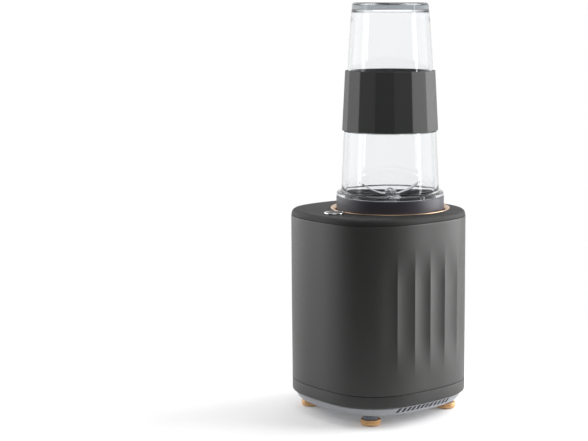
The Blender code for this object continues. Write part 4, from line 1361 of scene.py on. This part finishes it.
@dataclass
class Motor:
    """The motor and drive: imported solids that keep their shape, and the toothed drive in the well."""

    wardrobe: Wardrobe

    def build(self, axis: tuple[float, float]) -> None:
        """Dresses the motor and builds its coupler.

        Args:
            axis: where the axis stands in plan.
        """
        keep = self.wardrobe.keep
        keep(Palette.LAMINATION, "stator_stack", "armature_core")
        keep(Palette.WIRE, "field_coil_left", "field_coil_right", "armature_windings")
        keep(Palette.COMMUTATOR, "commutator")
        keep(Palette.BRACKET, "upper_bracket", "lower_bracket")
        keep(Palette.SHAFT, "motor_shaft", "upper_bearing", "lower_bearing")
        keep(Palette.SWITCH, "brush_holder_left", "brush_holder_right")
        keep(Palette.BLACK, "cooling_fan")
        keep(Palette.MOUNT, *(f"motor_mount_{i}" for i in range(1, 5)))
        bottom, top = low("drive_coupler"), high("drive_coupler")
        profile = [
            (4.3, bottom), (COUPLER_RADIUS, bottom, 0.3), (COUPLER_RADIUS, bottom + 2.0, 0.3),
            (6.6, bottom + 2.0), (6.6, top - 0.2, 0.6), (4.3, top - 0.2, 0.3),
        ]
        piece = Coupler().shape("toothed_drive", profile, axis, 6.0, bottom + 1.0, top, 0.0)
        self.wardrobe.dress(piece, Palette.BLACK, "rotor", "black_plastic", "drive_coupler")


# ---------------------------------------------------------------- cup assembly


@dataclass
class Thread:
    """A right-hand thread of several starts on an upright neck, as a bump on a grid of points."""

    foot: float
    crest: float
    starts: int = 3
    lead: float = 15.0
    span: float = 100.0
    half_base: float = 0.95
    half_tip: float = 0.45
    phase: float = 0.0

    def height(self, angles: np.ndarray, heights: np.ndarray) -> np.ndarray:
        """How far the ridges stand out.

        For each start, the ridge's middle climbs lead / 360 for each degree after its phase. The bump falls
        from the crest to nothing between the tip's and the base's half widths, and dies away at both ends.

        Args:
            angles: the angles of the grid's columns, in radians.
            heights: the heights of its rows.

        Returns:
            Rows x columns of bump heights.
        """
        bump = np.zeros((len(heights), len(angles)))
        for k in range(self.starts):
            sweep = (np.degrees(angles) - self.phase - 360.0 / self.starts * k) % 360.0
            centre = self.foot + self.lead * sweep / 360.0
            away = np.abs(heights[:, None] - centre[None, :])
            side = 1 - smoothstep((away - self.half_tip) / (self.half_base - self.half_tip))
            ends = np.clip(np.minimum(sweep, self.span - sweep) / (self.span * 0.2), 0.0, 1.0)
            bump = np.maximum(bump, self.crest * side * ends[None, :])
        return bump


@dataclass
class Collar:
    """The blade collar: a plain dark band with a threaded bore, keyed skirt, and the blades' bearing."""

    wardrobe: Wardrobe
    keys: tuple[float, ...] = KEY_ANGLES
    floor_drop: float = 15.6
    neck: float = NECK_LENGTH

    def band(self, axis: tuple[float, float]) -> bpy.types.Object:
        """The collar: outer wall, rounded lip, threaded bore, floor and skirt.

        Args:
            axis: where the axis stands in plan.

        Returns:
            The object.
        """
        bottom, top, outer = low("blade_collar"), high("blade_collar"), reach("blade_collar")
        floor = top - self.floor_drop
        bore = outer - 2.3
        angles = turn(288)
        wall = eased(
            [(8.3, floor - 4.0), (40.0, floor - 4.0, 0.5), (40.0, bottom), (outer, bottom, 0.8),
             (outer, top, 0.7),
             (bore, top, 0.6), (bore, top - 1.2)],
            False, 5,
        )
        heights = np.arange(top - 1.2, floor + 0.8, -0.3)
        ridge = Thread(top - self.neck + 5.1, 1.7).height(angles, heights)
        threaded = polar(bore - ridge, angles, heights[:, None], axis)
        base = eased([(bore, floor + 0.8), (bore, floor, 0.5), (8.3, floor)], False)
        outside = revolved(subdivided(wall, 5.0), angles, axis)
        grid = np.concatenate([outside, threaded[1:], revolved(base[1:], angles, axis)])
        piece = Shape().grid(grid, close_rows=True).build("collar_band")
        cutter = Shape()
        for angle in self.keys:
            cutter.tube(sector(37.0, 44.6, angle - 5.0, angle + 5.0, bottom - 2.0, bottom + 3.8, axis))
        return carved(piece, cutter.build("notch_cut"))

    def bearing(self, axis: tuple[float, float]) -> bpy.types.Object:
        """The bearing post: a flanged, stepped spindle housing with a soft shoulder.

        Args:
            axis: where the axis stands in plan.

        Returns:
            The object.
        """
        bottom, top = low("blade_bush"), high("blade_bush")
        flange = bottom + 4.0
        profile = [
            (3.3, bottom), (8.0, bottom), (8.0, flange), (11.2, flange, 0.3), (11.2, flange + 1.4, 0.6),
            (8.0, flange + 3.0, 1.2), (7.4, flange + 6.5, 0.4), (6.9, flange + 6.7, 0.3), (6.4, top, 0.8),
            (3.3, top, 0.3),
        ]
        return lathe("bearing_post", profile, axis, 96, True, 2.0)

    def build(self, axis: tuple[float, float]) -> None:
        """Builds and dresses the collar, bearing and gasket.

        Args:
            axis: where the axis stands in plan.
        """
        self.wardrobe.dress(self.band(axis), Palette.COLLAR, "collar", "collar_plastic", "blade_collar")
        steel = Turned("bearing_steel", (0.62, 0.63, 0.64), 0.2, axis, 1800.0)
        self.wardrobe.dress(self.bearing(axis), steel, "collar", "steel", "blade_bush")
        bottom, top, outer = low("cup_gasket"), high("cup_gasket"), reach("cup_gasket")
        profile = [
            (outer - 3.5, bottom, 0.4), (outer, bottom, 0.4), (outer, top, 0.7),
            (outer - 1.75, top - 0.2, 0.3),
            (outer - 3.5, top, 0.7),
        ]
        piece = lathe("round_gasket", profile, axis, 160)
        self.wardrobe.dress(piece, Palette.SILICONE, "gasket", "silicone", "cup_gasket")


@dataclass
class Cup:
    """The clear cup, upside down: threaded neck, flange, tapered wall and thick dished end; its sleeve."""

    wardrobe: Wardrobe
    wall: float = 2.4
    taper: float = 0.047
    flange: float = 3.2
    neck: float = NECK_LENGTH
    seat: float = 0.7
    facets: int = 16
    phase: float = 9.2

    def outer(self, heights: np.ndarray) -> np.ndarray:
        """The wall's outer radius: a cone that draws in faster in its last third.

        Args:
            heights: the heights.

        Returns:
            The radius at each height.
        """
        rise = heights - self.shoulder - self.flange
        late = np.clip(rise - 105.0, 0.0, None)
        seat = np.where(heights > self.waist, self.seat, 0.0)
        return self.radius - self.taper * rise - 0.0005 * late**2 - seat

    def __post_init__(self) -> None:
        """Reads where the cup stands."""
        self.bottom, self.top = low("cup"), high("cup")
        self.shoulder = self.bottom + self.neck + 0.3
        self.rim = reach("cup")
        self.neck_radius = reach("blade_collar") - 4.5
        self.radius = self.neck_radius + 0.3
        self.waist = low("grip_sleeve") - 0.6
        self.ceiling = self.top - 6.2

    def body(self, axis: tuple[float, float]) -> bpy.types.Object:
        """The cup as one closed wall, with its thread as a bump on the neck.

        Args:
            axis: where the axis stands in plan.

        Returns:
            The object.
        """
        angles = turn(320)
        flange_top = self.shoulder + self.flange
        heights = np.arange(self.bottom + 0.6, self.shoulder, 0.3)
        ridge = Thread(self.bottom + 2.6, 1.7, phase=8.0).height(angles, heights)
        neck = polar(self.neck_radius + ridge, angles, heights[:, None], axis)
        lip = eased([(self.neck_radius - 2.4, self.bottom + 0.5), (self.neck_radius - 1.2, self.bottom, 0.8),
                     (self.neck_radius, self.bottom + 0.6)], False)
        side = np.linspace(flange_top + 3.0, self.waist, 14)
        upper = np.linspace(self.waist + 0.3, self.top - 5.0, 34)
        flange = eased(
            [(self.neck_radius, self.shoulder), (self.rim, self.shoulder, 0.3), (self.rim, flange_top, 0.9),
             (self.radius + 1.0, flange_top, 1.0), (float(self.outer(side[:1])[0]), flange_top + 3.0)],
            False, 6,
        )
        crown_radius = float(self.outer(np.array([self.top - 5.0]))[0])
        crown = eased(
            [(crown_radius, self.top - 5.0), (crown_radius - 0.5, self.top, 3.2),
             (crown_radius - 5.0, self.top, 1.6), (crown_radius - 6.6, self.top - 3.0, 1.8),
             (crown_radius * 0.45, self.top - 3.4, 3.0), (0.2, self.top - 3.5)],
            False, 8,
        )
        ceiling_radius = float(self.outer(np.array([self.ceiling - 8.5]))[0]) - self.wall
        vault = eased(
            [(0.2, self.ceiling), (ceiling_radius - 0.4, self.ceiling + 0.2, 3.4),
             (ceiling_radius + 0.1, self.ceiling - 8.0)],
            False, 8,
        )
        inner = np.linspace(self.ceiling - 9.0, flange_top + 6.0, 30)
        inner_radius = self.outer(inner) - self.wall + np.where(inner > self.waist, 0.0, -self.seat)
        throat = eased(
            [(float(inner_radius[-1]), flange_top + 6.0),
             (self.neck_radius - self.wall, self.shoulder - 2.0, 3.0),
             (self.neck_radius - self.wall, self.bottom + 0.9)],
            False, 6,
        )
        line = np.concatenate([
            flange, np.stack([self.outer(side[1:]), side[1:]], axis=-1),
            np.stack([self.outer(upper), upper], axis=-1), crown[1:],
        ])
        inside = np.concatenate([vault, np.stack([inner_radius, inner], axis=-1), throat[1:]])
        grid = np.concatenate([revolved(lip, angles, axis), neck[1:], revolved(line, angles, axis)])
        shape = Shape().grid(grid).lid(grid[-1])
        core = revolved(inside, angles, axis)
        shape.grid(np.concatenate([core, revolved(lip[:1], angles, axis)])).lid(core[0])
        return shape.build("clear_cup", 40)

    def bore(self, height: float) -> float:
        """The sleeve's inner radius at a height: the cup's wall there, and a little room."""
        return float(self.outer(np.array([max(height, self.waist + 1.0)]))[0]) + 0.3

    def sleeve(self, axis: tuple[float, float]) -> bpy.types.Object:
        """The grip sleeve: a sixteen-sided tapered tube with crisp facets, eased ends and a round bore.

        In each facet the outer radius is apothem / cos(angle from the facet's middle), drawn in a trace at
        the corners so that they catch the light.

        Args:
            axis: where the axis stands in plan.

        Returns:
            The object.
        """
        bottom, top = low("grip_sleeve"), high("grip_sleeve")
        facet = 2 * pi / self.facets
        share = np.array([-0.5, -0.49, -0.47, -0.3, -0.1, 0.1, 0.3, 0.47, 0.49])
        middles = radians(self.phase) + facet * (np.arange(self.facets) + 0.5)
        angles = (middles[:, None] + share[None, :] * facet).reshape(-1)
        reach_out = np.tile(1 / np.cos(share * facet), self.facets)
        reach_out = np.minimum(reach_out, 1 / cos(0.485 * facet))
        low_out, high_out = self.bore(bottom) + 1.3, self.bore(top) + 1.1
        levels = np.array([
            (bottom, low_out - 0.6), (bottom + 0.15, low_out - 0.2), (bottom + 0.6, low_out),
            (top - 0.5, high_out), (top - 0.12, high_out - 0.15), (top, high_out - 0.5),
        ])
        outside = polar(levels[:, 1:2] * reach_out, angles, levels[:, 0:1], axis)
        inside = revolved(np.array([[self.bore(top), top], [self.bore(bottom), bottom]]), angles, axis)
        return Shape().grid(np.concatenate([outside, inside]), close_rows=True).build("faceted_sleeve", 12)

    def build(self, axis: tuple[float, float]) -> None:
        """Builds and dresses the cup and its sleeve."""
        self.wardrobe.dress(self.body(axis), Palette.CLEAR, "cup", "clear_cup", "cup")
        self.wardrobe.dress(self.sleeve(axis), Palette.SLEEVE, "sleeve", "graphite_plastic", "grip_sleeve")


@dataclass
class Blades:
    """Two crossed, two-winged blades, their nut and shaft, and the coupler under the collar."""

    wardrobe: Wardrobe
    span: float = 27.0
    thick: float = 1.3
    heading: float = 60.0

    def wings(
        self, name: str, axis: tuple[float, float], hub: float, rise: float, turned: float, tip: float
    ) -> bpy.types.Object:
        """A two-winged blade swept from tip to tip.

        The middle line is z = hub + rise * bend(s), where bend climbs smoothly from the flat middle. Each
        cross section is a plate that thins to a ground edge on its leading side.

        Args:
            name: the piece's name.
            axis: where the axis stands in plan.
            hub: the height of the flat middle's underside.
            rise: how far the tips stand above it, or below if negative.
            turned: the blade's direction, in degrees.
            tip: the blade's width at its tips.

        Returns:
            The object.
        """
        share = np.linspace(-1.0, 1.0, 81)
        bend = np.clip((np.abs(share) - 0.24) / 0.76, 0.0, 1.0)
        soft = bend**2 * (3 - 2 * bend) * 0.25 + bend * 0.75
        half = 7.0 - (7.0 - tip / 2) * np.clip((np.abs(share) - 0.2) / 0.8, 0.0, 1.0)
        beyond = ((np.abs(share) - 0.88) / 0.12).clip(0)
        half = half * np.clip(np.sqrt(np.clip(1 - beyond**2, 0.0, 1.0)), 0.12, 1.0)
        skew = np.sign(share) * tip / 3 * bend
        x, z = share * self.span, hub + rise * soft
        lead = np.sign(share)
        lead[np.abs(share) < 0.12] = 0.0
        ground = np.clip((np.abs(share) - 0.2) / 0.1, 0.0, 1.0)
        section = []
        for across, lift, grind in (
            (-1.0, 0.0, 0), (-0.55, 0.0, 0), (0.55, 0.0, 0), (1.0, 0.0, 0),
            (1.0, 1.0, 1), (0.55, 1.0, 0), (-0.55, 1.0, 0), (-1.0, 1.0, -1),
        ):
            y = skew + across * half
            edge = np.where(lead * grind > 0, 1 - 0.85 * ground, 1.0) if grind else 1.0
            section.append(np.stack([x, y, z + self.thick * lift * edge], axis=-1))
        grid = np.stack(section, axis=1)
        angle = radians(turned)
        flat = np.stack([
            axis[0] + grid[..., 0] * cos(angle) - grid[..., 1] * sin(angle),
            axis[1] + grid[..., 0] * sin(angle) + grid[..., 1] * cos(angle),
            grid[..., 2],
        ], axis=-1)
        plate = Shape().tube(flat).build(name, 25)
        bar = [(0.05, hub - 4), (3.3, hub - 4), (3.3, hub + 6), (0.05, hub + 6)]
        return carved(plate, lathe("shaft_cut", bar, axis, 48, False), 25)

    def nut(self, axis: tuple[float, float]) -> bpy.types.Object:
        """The domed hexagon nut over the shaft's end.

        The flats come from radius = apothem / cos(angle from the flat's middle), faded into a round dome.

        Args:
            axis: where the axis stands in plan.

        Returns:
            The object.
        """
        bottom, top = low("blade_nut"), high("blade_nut")
        angles = turn(96)
        flat = 4.7 / np.cos((angles + pi / 6) % (pi / 3) - pi / 6)
        hexed = np.array([(bottom, 0.98), (bottom + 0.2, 1.0), (bottom + 2.8, 1.0)])
        dome = np.array([
            (bottom + 3.2, 4.9), (bottom + 3.9, 4.7), (bottom + 5.0, 3.9), (top - 0.3, 2.2), (top, 0.8),
        ])
        radius = np.concatenate([flat * hexed[:, 1:2], np.minimum(flat, dome[:, 1:2])])
        heights = np.concatenate([hexed, dome])[:, 0:1]
        return Shape().tube(polar(radius, angles, heights, axis)).build("domed_nut")

    def build(self, axis: tuple[float, float]) -> None:
        """Builds and dresses the blades, nut, shaft and coupler.

        Args:
            axis: where the axis stands in plan.
        """
        dress = self.wardrobe.dress
        base = high("blade_bush") + 0.6
        lower = self.wings("blade_wings_down", axis, base, -8.5, self.heading + 90, 7.0)
        dress(lower, Palette.BLADE, "blades", "steel", "lower_blade")
        upper = self.wings("blade_wings_up", axis, base + 1.8, 12.0, self.heading, 6.0)
        dress(upper, Palette.BLADE, "blades", "steel", "upper_blade")
        polished = Turned("nut_steel", (0.66, 0.67, 0.68), 0.18, axis, 1500.0)
        dress(self.nut(axis), polished, "blades", "steel", "blade_nut")
        self.wardrobe.keep(Palette.SHAFT, "blade_shaft")
        bottom, top = low("blade_coupler"), high("blade_coupler")
        profile = [
            (3.3, top - 2.0), (COUPLER_RADIUS, top - 2.0, 0.3), (COUPLER_RADIUS, top, 0.3), (3.3, top),
        ]
        piece = Coupler().shape("toothed_follower", profile, axis, 7.4, bottom, top - 1.0, 30.0)
        dress(piece, Palette.BLACK, "blades", "black_plastic", "blade_coupler")


# ---------------------------------------------------------------- studio


@dataclass
class Studio:
    """A plain pale floor, soft light and the camera."""

    azimuth: float = 50.0
    pitch: float = 7.44
    distance: float = 1258.3
    target: float = 180.0
    lens: float = 90.6
    shift: tuple[float, float] = (-0.1433, -0.0354)
    sheet: float = 1.0
    sheet_fade: tuple[float, float] = (0.06, 0.42)

    def camera(self) -> None:
        """A long lens at the front right, a little above, looking at the middle of the object."""
        across, down = radians(self.azimuth), radians(self.pitch)
        away = Vector((sin(across) * cos(down), -cos(across) * cos(down), sin(down)))
        data = bpy.data.cameras.new("studio_camera")
        data.lens = self.lens
        data.shift_x, data.shift_y = self.shift
        camera = bpy.data.objects.new("studio_camera", data)
        camera.location = (Vector((0, 0, self.target)) + away * self.distance) * MM
        camera.rotation_euler = (-away).to_track_quat("-Z", "Y").to_euler()
        bpy.context.scene.collection.objects.link(camera)
        bpy.context.scene.camera = camera

    def all_but(self, name: str) -> bpy.types.Collection:
        """A list of receivers that leaves out one piece, so that its walls don't mirror the light.

        Args:
            name: the piece's name.

        Returns:
            The list of receivers.
        """
        group = bpy.data.collections.new("lit_but_" + name)
        group.objects.link(bpy.data.objects[name])
        group.collection_objects[0].light_linking.link_state = "EXCLUDE"
        return group

    def only(self, *names: str) -> bpy.types.Collection:
        """A list of receivers for a light that reaches only the named pieces.

        Args:
            names: the pieces' names.

        Returns:
            The list of receivers.
        """
        group = bpy.data.collections.new("lit_only")
        for name in names:
            group.objects.link(bpy.data.objects[name])
        return group

    def softbox(self, name: str, place: tuple[float, float, float], aim: tuple[float, float, float],
                size: tuple[float, float], power: float,
                receivers: bpy.types.Collection | None = None) -> None:
        """A rectangular area light turned towards a point.

        Args:
            name: the light's name.
            place: where it stands, in metres.
            aim: the point that it faces, in metres.
            size: its width and height, in metres.
            power: its power, in watts.
            receivers: what it lights; everything if left out.
        """
        data = bpy.data.lights.new(name, "AREA")
        data.shape = "RECTANGLE"
        data.size, data.size_y = size
        data.energy = power
        light = bpy.data.objects.new(name, data)
        light.light_linking.receiver_collection = receivers
        light.location = place
        light.rotation_euler = (Vector(aim) - Vector(place)).to_track_quat("-Z", "Y").to_euler()
        bpy.context.scene.collection.objects.link(light)

    def floor(self) -> None:
        """A wide white sheet under the object."""
        size = self.sheet
        mesh = bpy.data.meshes.new("studio_floor")
        corners = [(-size, -size, 0), (size, -size, 0), (size, size, 0), (-size, size, 0)]
        mesh.from_pydata(corners, [], [(0, 1, 2, 3)])
        floor = bpy.data.objects.new("studio_floor", mesh)
        nodes = Nodes("floor_sheet")
        where = nodes.place()
        cloud = nodes.noise(where, 3.0)
        colour = nodes.blend(cloud, (0.93, 0.93, 0.93), (0.95, 0.95, 0.95))
        away = nodes.add("VectorMath", {0: where}, operation="LENGTH").outputs["Value"]
        under = nodes.add("NewGeometry").outputs["Backfacing"]
        solid = nodes.sum(nodes.between(away, *self.sheet_fade, 1.0, 0.0), under, "SUBTRACT", True)
        mesh.materials.append(
            nodes.shade(
                Base_Color=colour, Roughness=0.8, Specular_IOR_Level=0.1, Alpha=solid,
                Emission_Color=WHITE, Emission_Strength=0.10,
            )
        )
        bpy.context.scene.collection.objects.link(floor)

    def sky(self) -> None:
        """White surroundings that are darker towards the front right, where the viewer stands.

        The share of white is the direction's dot product with the dark side, carried to a brightness. What is
        seen straight or through the clear cup is lighter than what lights and is mirrored.
        """
        world = bpy.data.worlds.new("studio_sky")
        world.use_nodes = True
        bpy.context.scene.world = world
        nodes = Tree(world.node_tree)
        across = radians(self.azimuth)
        place = nodes.add("TexCoord").outputs["Generated"]
        dark = (sin(across), -cos(across), 0.75)
        facing = nodes.add("VectorMath", {0: place, 1: dark}, operation="DOT_PRODUCT").outputs["Value"]
        span = nodes.between(facing, -0.5, 0.6, 1.0, 0.06, interpolation_type="SMOOTHSTEP")
        clear = nodes.between(span, 0.0, 1.0, 0.72, 1.1)
        path = nodes.add("LightPath").outputs
        through = nodes.add("Mix", {"Factor": path["Is Transmission Ray"], "A": span, "B": clear}).outputs[0]
        seen = nodes.add("Mix", {"Factor": path["Is Camera Ray"], "A": through, "B": 1.0}).outputs[0]
        ground = world.node_tree.nodes["Background"].inputs
        nodes.feed(ground["Strength"], seen)
        nodes.feed(ground["Color"], WHITE)

    def build(self) -> None:
        """Sets up the camera, floor and light."""
        bpy.context.scene.view_settings.view_transform = "Standard"
        self.camera()
        self.floor()
        self.sky()
        matt = self.all_but("clear_cup")
        self.softbox("left_bank", (-1.5, -0.7, 0.75), (0, 0, 0.16), (1.7, 2.0), 22.0, matt)
        self.softbox("right_bank", (0.75, 1.45, 0.75), (0, 0, 0.16), (1.5, 2.0), 56.0, matt)
        walls = self.only("housing_shell", "lower_band")
        self.softbox("side_wash", (1.45, 1.0, 0.6), (0, 0, 0.1), (1.2, 1.4), 22.0, walls)
        bpy.data.objects["side_wash"].visible_glossy = False
        self.softbox("front_fill", (1.5, -1.3, 1.1), (0, 0, 0.2), (1.6, 1.2), 8.0, matt)
        self.softbox("right_strip", (1.30, 0.95, 0.45), (0, 0, 0.25), (0.12, 1.3), 3.0)
        self.softbox("left_strip", (-0.75, -1.35, 0.45), (0, 0, 0.25), (0.30, 1.3), 2.5)
        self.softbox("overhead", (0.0, 0.2, 1.9), (0, 0, 0.1), (1.8, 1.8), 14.0)
        LOG.info("studio ready")


def main() -> None:
    """Builds every sub-assembly in order."""
    logging.basicConfig(level=logging.INFO, format="%(name)s: %(message)s")
    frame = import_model()
    wardrobe = Wardrobe(frame["nodes"])
    axis = middle("accent_ring")
    button = middle("button_ring")
    BaseShell(wardrobe).build(axis, reach("accent_ring") + 0.3, button)
    Feet(wardrobe).build()
    Well(wardrobe).build(axis)
    controls = Controls(wardrobe)
    controls.build(button)
    controls.spring()
    controls.gland()
    Motor(wardrobe).build(axis)
    Collar(wardrobe).build(axis)
    Cup(wardrobe).build(axis)
    Blades(wardrobe).build(axis)
    Studio().build()


if __name__ == "__main__":
    main()
